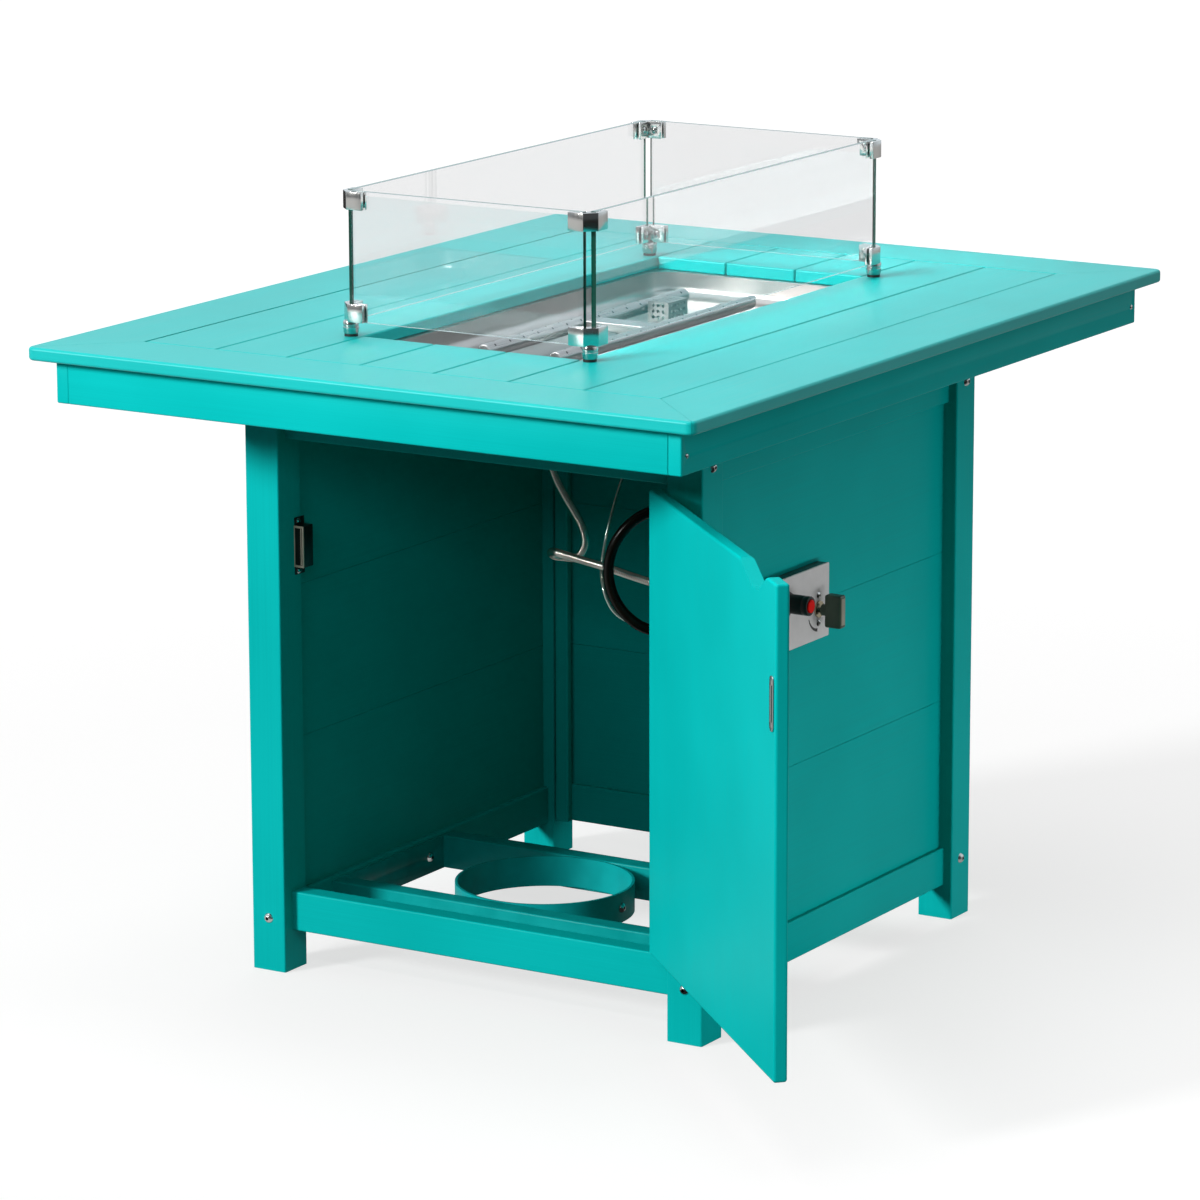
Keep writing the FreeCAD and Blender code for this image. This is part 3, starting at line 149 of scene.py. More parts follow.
# Poly boards, brushed steel, mottled paints and plastics, and glass
BOARD_DARK = (0.0005, 0.500, 0.482)
BOARD_LIGHT = (0.0015, 0.560, 0.542)
BOARD_BOUNCE = (0.0, 0.22, 0.15)
BOARD_TONES = (0.35, 0.65)
BOARD_GLOSS = (0.36, 0.44)
BOARD_RELIEF = 0.03 * MM
STREAKS_ACROSS = 900.0
STREAKS_ALONG = 4.0
STREAK_SHARE = 0.4
CLOUDS = (6.0, 6.0, 6.0)
CLOUD_SHARE = 0.6
PEBBLES = (1400.0, 1400.0, 1400.0)
LEVEL_SHEEN = 0.36
UPRIGHT_SHEEN = 0.05
STEEL_BOUNCE = (0.16, 0.16, 0.16)
LINES_ACROSS = 1500.0
LINES_ALONG = 14.0
SMEARS = (24.0, 24.0, 24.0)
SMEAR_SHADE = 0.94
PATCH_SIZE = 20
GLASS_TINT = (0.985, 0.99, 0.995, 1.0)
GLASS_IOR = 1.45
WIPES = (9.0, 9.0, 26.0)
WIPE_GLOSS = (0.0, 0.02)
WIPE_RANGE = (0.5, 0.75)


def poly_board(name, along, sheen):
    """Poly timber: faint streaks drawn along one axis, over soft clouds and a pebbled skin."""
    streak_scale = [STREAKS_ACROSS] * 3
    streak_scale[along] = STREAKS_ALONG

    def linked(tree):
        streaks = noise(tree, streak_scale)
        clouds = noise(tree, CLOUDS, SOFT)
        pebbles = noise(tree, PEBBLES, SOFT)
        tone = sums(tree, "ADD", sums(tree, "MULTIPLY", clouds, CLOUD_SHARE),
                    sums(tree, "MULTIPLY", streaks, STREAK_SHARE))
        drawn = shades(tree, tone, BOARD_DARK, BOARD_LIGHT, *BOARD_TONES)
        return {"Base Color": bounce_toned(tree, drawn, BOARD_BOUNCE),
                "Roughness": spread(tree, streaks, *BOARD_GLOSS),
                "Normal": relief(tree, sums(tree, "ADD", streaks, pebbles), BOARD_RELIEF)}
    return finish(name, {"Specular IOR Level": sheen}, linked)


def steel(name, along, colour, smooth, rough, depth):
    """Stainless steel brushed along one axis."""
    scale = [LINES_ACROSS] * 3
    scale[along] = LINES_ALONG

    def linked(tree):
        lines = noise(tree, scale)
        smears = noise(tree, SMEARS, SOFT)
        worn = tuple(SMEAR_SHADE * part for part in colour)
        return {"Base Color": bounce_toned(tree, shades(tree, smears, worn, colour), STEEL_BOUNCE),
                "Roughness": spread(tree, lines, smooth, rough),
                "Normal": relief(tree, lines, depth)}
    return finish(name, {"Metallic": 1.0}, linked)


def mottled(name, dark, light, grain, smooth, rough, depth, constants=None):
    """A finish with a fine grain in its surface and broader patches in its colour and gloss."""
    def linked(tree):
        fine = noise(tree, [grain] * 3)
        broad = noise(tree, [grain / PATCH_SIZE] * 3, SOFT)
        return {"Base Color": shades(tree, broad, dark, light),
                "Roughness": spread(tree, broad, smooth, rough),
                "Normal": relief(tree, fine, depth)}
    return finish(name, constants or {}, linked)


def pane_glass():
    """Clear tempered glass, very faintly wiped."""
    def linked(tree):
        wipes = noise(tree, WIPES)
        return {"Roughness": spread(tree, wipes, *WIPE_GLOSS, *WIPE_RANGE)}
    constants = {"Base Color": GLASS_TINT, "Transmission Weight": 1.0, "IOR": GLASS_IOR}
    return finish("pane_glass", constants, linked)


# Finishes: colours, grains per metre, smoothest and roughest gloss, and the grain's depth in metres
X, Y, Z = range(3)
TOP_X = poly_board("top_board_along_x", X, LEVEL_SHEEN)
TOP_Y = poly_board("top_board_along_y", Y, LEVEL_SHEEN)
BOARD_X = poly_board("board_along_x", X, UPRIGHT_SHEEN)
BOARD_Y = poly_board("board_along_y", Y, UPRIGHT_SHEEN)
BOARD_Z = poly_board("board_along_z", Z, UPRIGHT_SHEEN)
STEEL_Z = steel("steel_along_z", Z, (0.56, 0.56, 0.55), 0.24, 0.34, 0.000004)
PAN_STEEL = steel("pan_steel", Y, (0.50, 0.485, 0.47), 0.3, 0.38, 0.000002)
BURNER_STEEL = steel("burner_steel", Y, (0.40, 0.40, 0.395), 0.26, 0.34, 0.000003)
CAGE_STEEL = steel("cage_steel", Y, (0.32, 0.32, 0.315), 0.34, 0.42, 0.000003)
CLAMP_STEEL = steel("clamp_steel", Z, (0.64, 0.635, 0.61), 0.16, 0.2, 0.000001)
POLISHED = mottled("polished_steel", (0.50, 0.50, 0.48), (0.60, 0.60, 0.58), 900.0, 0.14, 0.26, 0.00002,
                   {"Metallic": 1.0})
ZINC = mottled("zinc_plate", (0.50, 0.47, 0.37), (0.62, 0.58, 0.47), 900.0, 0.32, 0.44, 0.00002,
               {"Metallic": 0.3})
PIPE_STEEL = mottled("pipe_steel", (0.60, 0.59, 0.52), (0.72, 0.71, 0.64), 900.0, 0.18, 0.24, 0.000005,
                     {"Metallic": 1.0})
CRADLE_PAINT = mottled("cradle_paint", (0.002, 0.38, 0.37), (0.004, 0.45, 0.44), 700.0, 0.3, 0.42, 0.00004,
                       {"Specular IOR Level": 0.12})
RING_PAINT = mottled("ring_paint", (0.002, 0.40, 0.40), (0.004, 0.47, 0.47), 700.0, 0.36, 0.5, 0.00004,
                     {"Specular IOR Level": 0.1})
PLATE_PAINT = mottled("plate_paint", (0.80, 0.80, 0.80), (0.88, 0.88, 0.88), 900.0, 0.4, 0.55, 0.00003)
MARK_PAINT = mottled("mark_paint", (0.012, 0.012, 0.011), (0.022, 0.022, 0.020), 900.0, 0.4, 0.55, 0.00003)
# Control box: a dark paint tinted to the teal-green of the shadowed ledge behind the plate, partly the
# box's own dark paint and partly painted shade
BOX_PAINT_AND_SHADE = mottled("box_paint_and_shade", (0.008, 0.030, 0.024), (0.014, 0.044, 0.036), 900.0, 0.3, 0.5, 0.00005)
BLACK_PLASTIC = mottled("black_plastic", (0.006, 0.008, 0.007), (0.012, 0.015, 0.013), 1200.0, 0.3, 0.45,
                        0.00005, {"Specular IOR Level": 0.3})
KNOB_PLASTIC = mottled("knob_plastic", (0.050, 0.080, 0.052), (0.075, 0.112, 0.076), 1000.0, 0.34, 0.5,
                       0.00006)
KNOB_FACE = mottled("knob_face", (0.30, 0.30, 0.23), (0.42, 0.41, 0.33), 700.0, 0.4, 0.55, 0.00006)
BUTTON_RED = mottled("button_red", (0.88, 0.006, 0.005), (0.98, 0.012, 0.009), 800.0, 0.4, 0.55, 0.00003,
                     {"Specular IOR Level": 0.1})
BRASS = mottled("brass", (0.30, 0.26, 0.17), (0.44, 0.39, 0.27), 900.0, 0.16, 0.26, 0.00004,
                {"Metallic": 1.0})
CAST_GREY = mottled("cast_grey", (0.20, 0.20, 0.20), (0.32, 0.32, 0.31), 420.0, 0.42, 0.6, 0.00012,
                    {"Metallic": 0.7})
HOSE_RUBBER = mottled("hose_rubber", (0.003, 0.003, 0.002), (0.006, 0.006, 0.004), 700.0, 0.16, 0.24,
                      0.00003, {"Specular IOR Level": 0.16})
PAD_RUBBER = mottled("pad_rubber", (0.008, 0.009, 0.009), (0.016, 0.018, 0.018), 700.0, 0.5, 0.65, 0.00008)
WIRE_SKIN = mottled("wire_skin", (0.46, 0.57, 0.50), (0.54, 0.65, 0.58), 900.0, 0.14, 0.2, 0.000005,
                    {"Metallic": 0.85})
# Painted shade: near-black discs stand for the shade inside the burner's drilled gas ports
PORT_HOLE_SHADE = mottled("port_hole_shade", (0.006, 0.007, 0.007), (0.014, 0.015, 0.015), 900.0, 0.5, 0.65, 0.00002)
CERAMIC = mottled("ceramic", (0.72, 0.71, 0.67), (0.84, 0.83, 0.79), 600.0, 0.15, 0.3, 0.00003)
# Glass edge colours: the green is the glass's own edge tint; the upright edges' darkness is painted shade
# and the level rims' paleness is a painted highlight
GLASS_EDGE_TINT_AND_SHADE = mottled("glass_edge_tint_and_shade", (0.002, 0.040, 0.027), (0.004, 0.066, 0.046), 60.0, 0.08, 0.16, 0.00001,
                     {"Specular IOR Level": 0.2})
GLASS_RIM_TINT_AND_HIGHLIGHT = mottled("glass_rim_tint_and_highlight", (0.12, 0.22, 0.20), (0.20, 0.31, 0.29), 60.0, 0.08, 0.16, 0.00001,
                    {"Specular IOR Level": 0.2})
GLASS = pane_glass()


def dress(material, *nodes):
    """Give CAD nodes their finish."""
    for node in nodes:
        for slot in frame["nodes"][node].material_slots:
            slot.material = material


# Mesh helpers
MERGE = 1e-6
FLAT_ANGLE = math.radians(0.5)
SHARP_ANGLE = math.radians(40.0)
ALL_SMOOTH = math.radians(180.0)
NUT_CHAMFER = 0.05


def facing(place, direction):
    """A matrix that puts a shape made along +Z at a place, along a direction."""
    turn = Vector(direction).to_track_quat("Z", "Y").to_matrix().to_4x4()
    return Matrix.Translation(place) @ turn


def turned(profile, place, direction=(0, 0, 1), steps=32):
    """A solid of revolution from (radius, height) points, along a direction."""
    bm = bmesh.new()
    verts = [bm.verts.new((radius, 0.0, height)) for radius, height in profile]
    edges = [bm.edges.new(pair) for pair in zip(verts, verts[1:])]
    bmesh.ops.spin(bm, geom=verts + edges, cent=(0, 0, 0), axis=(0, 0, 1), angle=math.tau, steps=steps,
                   use_merge=True)
    bmesh.ops.remove_doubles(bm, verts=bm.verts[:], dist=MERGE)
    bmesh.ops.transform(bm, matrix=facing(place, direction), verts=bm.verts[:])
    return bm


def scaled(profile, radius, height):
    """A profile given in shares of a radius and a height."""
    return [(radius * out, height * up) for out, up in profile]


def bevelled(bm, edges, width, segments=2):
    bmesh.ops.bevel(bm, geom=edges, offset=width, offset_type="OFFSET", affect="EDGES", segments=segments,
                    profile=0.5, material=-1, clamp_overlap=True)


def slab(low, high, edge, segments=2):
    """A block between two corners with rounded edges."""
    low = Vector(low)
    high = Vector(high)
    bm = bmesh.new()
    bmesh.ops.create_cube(bm, size=1.0)
    place = Matrix.Translation((low + high) / 2) @ Matrix.Diagonal((*(high - low), 1.0))
    bmesh.ops.transform(bm, matrix=place, verts=bm.verts[:])
    bevelled(bm, bm.edges[:], edge, segments)
    return bm


def hex_nut(across, height, place, direction):
    """A chamfered hexagon nut."""
    bm = bmesh.new()
    radius = across / math.sqrt(3)
    bmesh.ops.create_cone(bm, cap_ends=True, segments=6, radius1=radius, radius2=radius, depth=height)
    bmesh.ops.translate(bm, vec=(0, 0, height / 2), verts=bm.verts[:])
    bevelled(bm, bm.edges[:], across * NUT_CHAMFER)
    bmesh.ops.transform(bm, matrix=facing(place, direction), verts=bm.verts[:])
    return bm


def piece(name, shapes, material, body, replaced=(), smooth=SHARP_ANGLE):
    """Join shapes into one object that rides on a body and stands for the CAD nodes it replaces."""
    whole = bmesh.new()
    part = bpy.data.meshes.new(name + "_part")
    for bm in shapes:
        bmesh.ops.recalc_face_normals(bm, faces=bm.faces[:])
        bm.to_mesh(part)
        bm.free()
        whole.from_mesh(part)
    bpy.data.meshes.remove(part)
    mesh = bpy.data.meshes.new(name)
    whole.to_mesh(mesh)
    whole.free()
    # Normals carried over from a CAD mesh would bend what the glass shows
    if "custom_normal" in mesh.attributes:
        mesh.attributes.remove(mesh.attributes["custom_normal"])
    mesh.materials.append(material)
    mesh.shade_smooth()
    mesh.set_sharp_from_angle(angle=smooth)
    item = bpy.data.objects.new(name, mesh)
    return shown(item, body, replaced)


def shown(item, body, replaced=()):
    scene.collection.objects.link(item)
    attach(item, body)
    if replaced:
        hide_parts(*replaced)
    return item


def merged_copy(node):
    """A CAD node's mesh with its loose triangles joined."""
    bm = bmesh.new()
    bm.from_mesh(frame["nodes"][node].data)
    bmesh.ops.remove_doubles(bm, verts=bm.verts[:], dist=MERGE)
    return bm


def eased(node, material, width):
    """A CAD node with its flat faces made whole and its sharp edges broken by a small round."""
    bm = merged_copy(node)
    bmesh.ops.dissolve_limit(bm, angle_limit=FLAT_ANGLE, verts=bm.verts[:], edges=bm.edges[:],
                             use_dissolve_boundaries=False, delimit=set())
    sharp = [edge for edge in bm.edges
             if len(edge.link_faces) == 2 and edge.calc_face_angle() > SHARP_ANGLE]
    bevelled(bm, sharp, width)
    return piece(node + "_eased", [bm], material, BODY_OF[node], (node,))


def solids_of(node):
    """The points of each separate solid in a CAD node."""
    bm = merged_copy(node)
    unseen = set(bm.verts)
    solids = []
    while unseen:
        front = [unseen.pop()]
        points = []
        while front:
            vert = front.pop()
            points.append(vert.co.copy())
            near = {edge.other_vert(vert) for edge in vert.link_edges} & unseen
            unseen -= near
            front += near
        solids.append(points)
    bm.free()
    return solids


def span(points):
    low = Vector([min(point[axis] for point in points) for axis in range(3)])
    high = Vector([max(point[axis] for point in points) for axis in range(3)])
    return low, high


def corners(box):
    return [Vector(corner) for corner in box]


# Dome headed bolts and screws with hexagon sockets
DOMED_NODES = ("frame_bolts", "tank_bolts", "apron_screws", "guard_screws", "trim_screws")
DOME_STEPS = 5
BOLT_STEPS = 24
SOCKET_SHARE = 0.36
SOCKET_RIM = 1.15
SOCKET_DEPTH_SHARE = 0.4


def screw_measures(points):
    """Seat, outward direction, head radius, head height, shank radius and shank length of one screw."""
    low, high = span(points)
    size = high - low
    middle = (low + high) / 2
    axis = min(range(3), key=lambda a: abs(size[(a + 1) % 3] - size[(a + 2) % 3]))

    def off_axis(point):
        gap = point - middle
        gap[axis] = 0.0
        return gap.length

    head_radius = max(off_axis(point) for point in points)
    seat_at = next(point[axis] for point in points if off_axis(point) > head_radius - MERGE)
    ends = {1: [point for point in points if point[axis] > high[axis] - MERGE],
            -1: [point for point in points if point[axis] < low[axis] + MERGE]}
    outward = min(ends, key=lambda way: max(off_axis(point) for point in ends[way]))
    shank_radius = max(off_axis(point) for point in ends[-outward])
    seat = middle.copy()
    seat[axis] = seat_at
    direction = Vector((0, 0, 0))
    direction[axis] = outward
    tops = {1: high[axis] - seat_at, -1: seat_at - low[axis]}
    return seat, direction, head_radius, tops[outward], shank_radius, tops[-outward]


def dome_screw(points):
    """A domed head on its shank, with a hexagon socket sunk into the crown."""
    seat, direction, head_radius, height, shank_radius, shank_length = screw_measures(points)
    ball = (head_radius ** 2 + height ** 2) / (2 * height)
    socket = head_radius * SOCKET_SHARE
    rim_angle = math.asin(head_radius / ball)
    crown_angle = math.asin(socket * SOCKET_RIM / ball)
    angles = [rim_angle + (crown_angle - rim_angle) * step / DOME_STEPS for step in range(DOME_STEPS + 1)]
    dome = [(ball * math.sin(angle), ball * math.cos(angle) - ball + height) for angle in angles]
    shank = [(0, -shank_length), (shank_radius, -shank_length), (shank_radius, 0)]
    bm = turned(shank + dome, (0, 0, 0), steps=BOLT_STEPS)
    crown = [edge for edge in bm.edges if edge.is_boundary]
    floor_at = dome[-1][1] - height * SOCKET_DEPTH_SHARE
    base = bmesh.ops.create_circle(bm, cap_ends=True, segments=6, radius=socket,
                                   matrix=Matrix.Translation((0, 0, floor_at)))
    hexagon = list({edge for vert in base["verts"] for edge in vert.link_edges})
    walls = bmesh.ops.extrude_edge_only(bm, edges=hexagon)
    raised = [item for item in walls["geom"] if isinstance(item, bmesh.types.BMVert)]
    bmesh.ops.translate(bm, vec=(0, 0, dome[-1][1] - floor_at), verts=raised)
    rim = [edge for edge in bm.edges if edge.is_boundary and edge not in crown]
    bmesh.ops.bridge_loops(bm, edges=crown + rim)
    bmesh.ops.transform(bm, matrix=facing(seat, direction), verts=bm.verts[:])
    return bm


def bolts():
    for node in DOMED_NODES:
        piece(node + "_domed", [dome_screw(points) for points in solids_of(node)], POLISHED, BODY_OF[node],
              (node,))


# Gas hose, corrugated gas pipe and ignition wire
HOSE_HEADING = math.radians(31.3)
HOSE_ELBOW = Vector((0.2464, -0.051, 0.405))
HOSE_START = 0.026
HOSE_RUN = 0.119
HOSE_RUN_SHARES = (0.0, 0.35, 0.7)
HOSE_LOOP = 0.0745
HOSE_PITCH = 0.020
HOSE_TURNS = 0.75
HOSE_DROP = 0.0965
HOSE_DROP_SHARES = (0.18, 0.6, 1.0)
HOSE_DIAMETER = 0.0124
TURN_POINTS = 16
ROUTE_STEPS = 12
ROUTE_ROUND = 5
PIPE_DIAMETER = 0.010
PIPE_PITCH = 0.0021
PIPE_RIB = 0.00045
PIPE_STEPS = 60
PIPE_SIDES = 14
PIPE_POINTS = [(220.9, -51, 440.5), (200.9, -51, 440.5), (161, -58, 441), (120, -69, 446), (80, -81, 456),
               (39, -92, 468), (9, -100, 475), (-14, -101, 479), (-37, -84, 476), (-50, -60, 465),
               (-45, -44, 460), (-30, -38, 459), (-20, -36, 473), (-20, -36, 489), (-32, -35, 509),
               (-49, -32, 528), (-69, -27, 553), (-81, -20, 582), (-75, -10, 608), (-53, -1, 629),
               (-29, 4, 642), (-10, 7, 654), (0, 9, 669), (0, 9, 689)]
WIRE_DIAMETER = 0.004
WIRE_POINTS = [(-23, 149, 685), (-23, 149, 665), (-20, 137, 650), (-13, 108, 629), (0, 62, 603),
               (14, 12, 578), (27, -34, 557), (33, -62, 530), (32, -75, 500), (29, -78, 477),
               (30, -83, 461), (50, -114, 455), (57, -118, 439), (67, -117, 422), (83, -112, 413),
               (106, -106, 402), (133, -104, 389), (164, -108, 386), (193, -117, 397), (212, -123, 421),
               (224, -124, 443), (232.9, -122, 461), (252.9, -122, 461)]


def metres(points):
    return [Vector(point) * MM for point in points]


def hose_points():
    """Out of the elbow's ferrule, three quarters round an upright loop, and down to the regulator."""
    along = Vector((math.cos(HOSE_HEADING), math.sin(HOSE_HEADING), 0))
    aside = Vector((along.y, -along.x, 0))
    up = Vector((0, 0, 1))
    centre = HOSE_ELBOW - along * HOSE_RUN + up * HOSE_LOOP
    reach = HOSE_LOOP / math.cos(math.pi / TURN_POINTS)
    run = HOSE_RUN - HOSE_START
    points = [HOSE_ELBOW - along * (HOSE_START + run * share) for share in HOSE_RUN_SHARES]
    for step in range(1, round(HOSE_TURNS * TURN_POINTS)):
        turn = step / TURN_POINTS
        angle = math.tau * turn
        points.append(centre - along * reach * math.sin(angle) - up * reach * math.cos(angle)
                      + aside * HOSE_PITCH * turn)
    last = centre + along * HOSE_LOOP + aside * HOSE_PITCH * HOSE_TURNS
    return points + [last - up * HOSE_DROP * share for share in HOSE_DROP_SHARES]


def route_curve(name, points, diameter):
    """A NURBS curve with those points as its control points."""
    curve = bpy.data.curves.new(name, "CURVE")
    curve.dimensions = "3D"
    curve.resolution_u = ROUTE_STEPS
    curve.bevel_depth = diameter / 2
    curve.bevel_resolution = ROUTE_ROUND
    curve.use_fill_caps = diameter > 0
    spline = curve.splines.new("NURBS")
    spline.points.add(len(points) - 1)
    for control, point in zip(spline.points, points):
        control.co = (*point, 1.0)
    spline.order_u = 3
    spline.use_endpoint_u = True
    return bpy.data.objects.new(name, curve)


def curve_line(name, points, resolution):
    """Points along the route's own smooth line."""
    item = route_curve(name, points, 0.0)
    item.data.resolution_u = resolution
    mesh = bpy.data.meshes.new_from_object(item)
    line = [vert.co.copy() for vert in mesh.vertices]
    bpy.data.meshes.remove(mesh)
    bpy.data.objects.remove(item)
    return line


def ribbed_tube(line, radius, pitch, rib):
    """A corrugated tube: a ring at each point of the line, wider and narrower in turn."""
    bm = bmesh.new()
    ring = bmesh.ops.create_circle(bm, cap_ends=True, segments=PIPE_SIDES, radius=1.0)["verts"]
    edges = list({edge for vert in ring for edge in vert.link_edges})
    turn = (line[1] - line[0]).to_track_quat("Z", "Y")
    travelled = 0.0
    last = Matrix.Identity(4)
    for index, point in enumerate(line):
        ahead = (line[min(index + 1, len(line) - 1)] - line[max(index - 1, 0)]).normalized()
        turn = (turn @ Vector((0, 0, 1))).rotation_difference(ahead) @ turn
        travelled += (point - line[index - 1]).length if index else 0.0
        girth = radius - rib / 2 * (1 - math.cos(math.tau * travelled / pitch))
        place = Matrix.LocRotScale(point, turn, Vector((girth, girth, girth)))
        if index:
            grown = bmesh.ops.extrude_edge_only(bm, edges=edges)["geom"]
            ring = [item for item in grown if isinstance(item, bmesh.types.BMVert)]
            edges = [item for item in grown if isinstance(item, bmesh.types.BMEdge)
                     and item.verts[0] in ring and item.verts[1] in ring]
        bmesh.ops.transform(bm, matrix=place @ last.inverted(), verts=ring)
        last = place
    bmesh.ops.contextual_create(bm, geom=edges)
    return bm


def cords():
    points = hose_points()
    hose = route_curve("gas_hose_line", points, HOSE_DIAMETER)
    hose.data.materials.append(HOSE_RUBBER)
    shown(hose, "table", ("gas_hose",))
    regulator()

    line = curve_line("gas_pipe_route", metres(PIPE_POINTS), PIPE_STEPS)
    tube = ribbed_tube(line, PIPE_DIAMETER / 2, PIPE_PITCH, PIPE_RIB)
    pipe = piece("gas_pipe_ribbed", [tube], PIPE_STEEL, "table", ("gas_pipe",), ALL_SMOOTH)

    points = metres(WIRE_POINTS)
    wire = route_curve("ignition_wire_line", points, WIRE_DIAMETER)
    wire.data.materials.append(WIRE_SKIN)
    shown(wire, "table", ("ignition_wire",))


# Regulator and its hand nut; outlines are in shares of a radius and a height or depth
DRUM_OUTLINE = ((0.0, -1.0), (0.30, -1.0), (0.34, -0.9), (0.70, -0.86), (0.80, -0.76), (0.84, -0.25),
                (0.97, -0.18), (1.0, -0.12), (1.0, 0.12), (0.97, 0.18), (0.84, 0.25), (0.82, 0.8),
                (0.74, 0.97), (0.68, 1.0), (0.0, 1.0))
DRUM_STEPS = 48
DRUM_JOIN = 0.9
FLANGE_SCREWS = 6
FLANGE_SCREW_OUT = 0.905
FLANGE_SCREW_FACE = 0.17
FLANGE_SCREW_RADIUS = 0.075
FLANGE_SCREW_HEIGHT = 0.12
FERRULE_LENGTH = 26 * MM
FERRULE_DIP = 0.3 * MM
FERRULE_MOUTH = 8.6 * MM
FERRULE_RADIUS = 9.0 * MM
CRIMPS = 5
CRIMP_FIRST = 4.0 * MM
CRIMP_PITCH = 4.4 * MM
CRIMP_RADIUS = 8.2 * MM
CRIMP_RISE = 1.4 * MM
CRIMP_FLAT = 0.8 * MM
NECK_RADIUS = 7.0 * MM
NECK_TIP = 9.4 * MM
NECK_COLLAR = 10.0 * MM
NECK_CHAMFER = 0.6 * MM
NECK_COLLAR_HEIGHT = 3.0 * MM
SWIVEL_ACROSS = 18.0 * MM
SWIVEL_HEIGHT = 6.5 * MM
SWIVEL_GAP = 0.8 * MM
NUT_LOBES = 14
LOBE_STEPS = 8
LOBE_MEAN = 0.955
LOBE_SWING = 0.045
NUT_PLAY = 0.05 * MM
NUT_EDGE = 0.08
NUT_ROUND = ((0.0, 0.0), (0.0, 0.90), (0.3, 0.96), (1.0, 1.0))
SMALL_SCREW_OUTLINE = ((0.0, -0.2), (1.0, -0.2), (1.0, 0.45), (0.8, 0.85), (0.45, 1.0), (0.3, 0.7),
                       (0.0, 0.6))
SMALL_SCREW_STEPS = 16


def rings(loops):
    """A closed skin through loops of points, the last one joined to the first."""
    bm = bmesh.new()
    edge_loops = []
    for loop in loops:
        verts = [bm.verts.new(point) for point in loop]
        edge_loops.append([bm.edges.new((vert, verts[index - 1])) for index, vert in enumerate(verts)])
    for first, second in zip(edge_loops, edge_loops[1:] + edge_loops[:1]):
        bmesh.ops.bridge_loops(bm, edges=first + second)
    return bm


def fluted_nut(place, radius, bore, height):
    """A hand nut with lobes round its rim and rounded ends."""
    steps = NUT_LOBES * LOBE_STEPS
    around = [math.tau * step / steps for step in range(steps)]

    def loop(level, share):
        if share == 0.0:
            return [(bore * math.cos(a), bore * math.sin(a), level) for a in around]
        reach = [share * radius * (LOBE_MEAN + LOBE_SWING * math.cos(NUT_LOBES * a)) for a in around]
        return [(r * math.cos(a), r * math.sin(a), level) for r, a in zip(reach, around)]

    edge = NUT_EDGE * height
    lower = [(edge * rise, share) for rise, share in NUT_ROUND]
    upper = [(height - level, share) for level, share in reversed(lower)]
    bm = rings([loop(level, share) for level, share in lower + upper])
    bmesh.ops.translate(bm, vec=place, verts=bm.verts[:])
    return bm


def small_screw(place, direction, radius, height):
    """A low round head with a dimple in its crown."""
    return turned(scaled(SMALL_SCREW_OUTLINE, radius, height), place, direction, SMALL_SCREW_STEPS)


def regulator():
    """A pressed drum with a screwed flange, a crimped ferrule, and a hexagon above the hand nut."""
    low, high = corners(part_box("regulator"))
    nut_low, nut_high = corners(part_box("regulator_nut"))
    middle = (nut_low + nut_high) / 2
    wide = (high.x - low.x) / 2
    deep = (high.y - low.y) / 2
    upright = (middle.x, middle.y, 0.0)
    drum = Vector((middle.x, middle.y, high.z - FERRULE_LENGTH - wide))
    shapes = [turned(scaled(DRUM_OUTLINE, wide, deep), drum, (0, 1, 0), DRUM_STEPS)]
    for screw in range(FLANGE_SCREWS):
        angle = math.tau * (screw + 0.5) / FLANGE_SCREWS
        out = FLANGE_SCREW_OUT * wide
        spot = drum + Vector((out * math.cos(angle), -FLANGE_SCREW_FACE * deep, out * math.sin(angle)))
        shapes.append(small_screw(spot, (0, -1, 0), FLANGE_SCREW_RADIUS * wide, FLANGE_SCREW_HEIGHT * deep))
    ferrule = [(0.0, high.z - FERRULE_DIP), (FERRULE_MOUTH, high.z)]
    for band in range(CRIMPS):
        level = high.z - CRIMP_FIRST - CRIMP_PITCH * band
        ferrule += [(FERRULE_RADIUS, level + CRIMP_RISE), (CRIMP_RADIUS, level),
                    (CRIMP_RADIUS, level - CRIMP_FLAT)]
    ferrule += [(FERRULE_RADIUS, drum.z + DRUM_JOIN * wide), (0.0, drum.z)]
    collar_top = low.z + NECK_COLLAR_HEIGHT
    neck_top = drum.z - DRUM_JOIN * wide
    neck = [(0.0, low.z), (NECK_TIP, low.z), (NECK_COLLAR, low.z + NECK_CHAMFER), (NECK_COLLAR, collar_top),
            (NECK_RADIUS, collar_top), (NECK_RADIUS, neck_top), (0.0, neck_top)]
    swivel_at = (middle.x, middle.y, nut_high.z + SWIVEL_GAP)
    shapes += [turned(ferrule, upright), turned(neck, upright),
               hex_nut(SWIVEL_ACROSS, SWIVEL_HEIGHT, swivel_at, (0, 0, 1))]
    body = piece("regulator_cast", shapes, CAST_GREY, "table", ("regulator",))
    fluted = fluted_nut((middle.x, middle.y, nut_low.z), (nut_high.x - nut_low.x) / 2,
                        NECK_RADIUS + NUT_PLAY, nut_high.z - nut_low.z)
    nut = piece("regulator_nut_fluted", [fluted], BLACK_PLASTIC, "hand_nut",
                ("regulator_nut",))
    return [body, nut]


# Nuts and boots at the cords' ends
VALVE_NUT = (17 * MM, 13 * MM)
VALVE_NUT_PLACE = (217, -51, 440.5)
BURNER_NUT = (19 * MM, 13 * MM)
BURNER_NUT_PLACE = (0, 9, 676)
BOOT_OUTLINE = ((0.0, 0.0), (2.4, 0.0), (3.4, 1.5), (4.2, 8.0), (4.2, 20.0), (3.6, 22.0), (0.0, 22.0))
BOOT_STEPS = 20
IGNITER_BOOT_PLACE = (236, -122, 461)
PILOT_BOOT_PLACE = (-23, 149, 669)


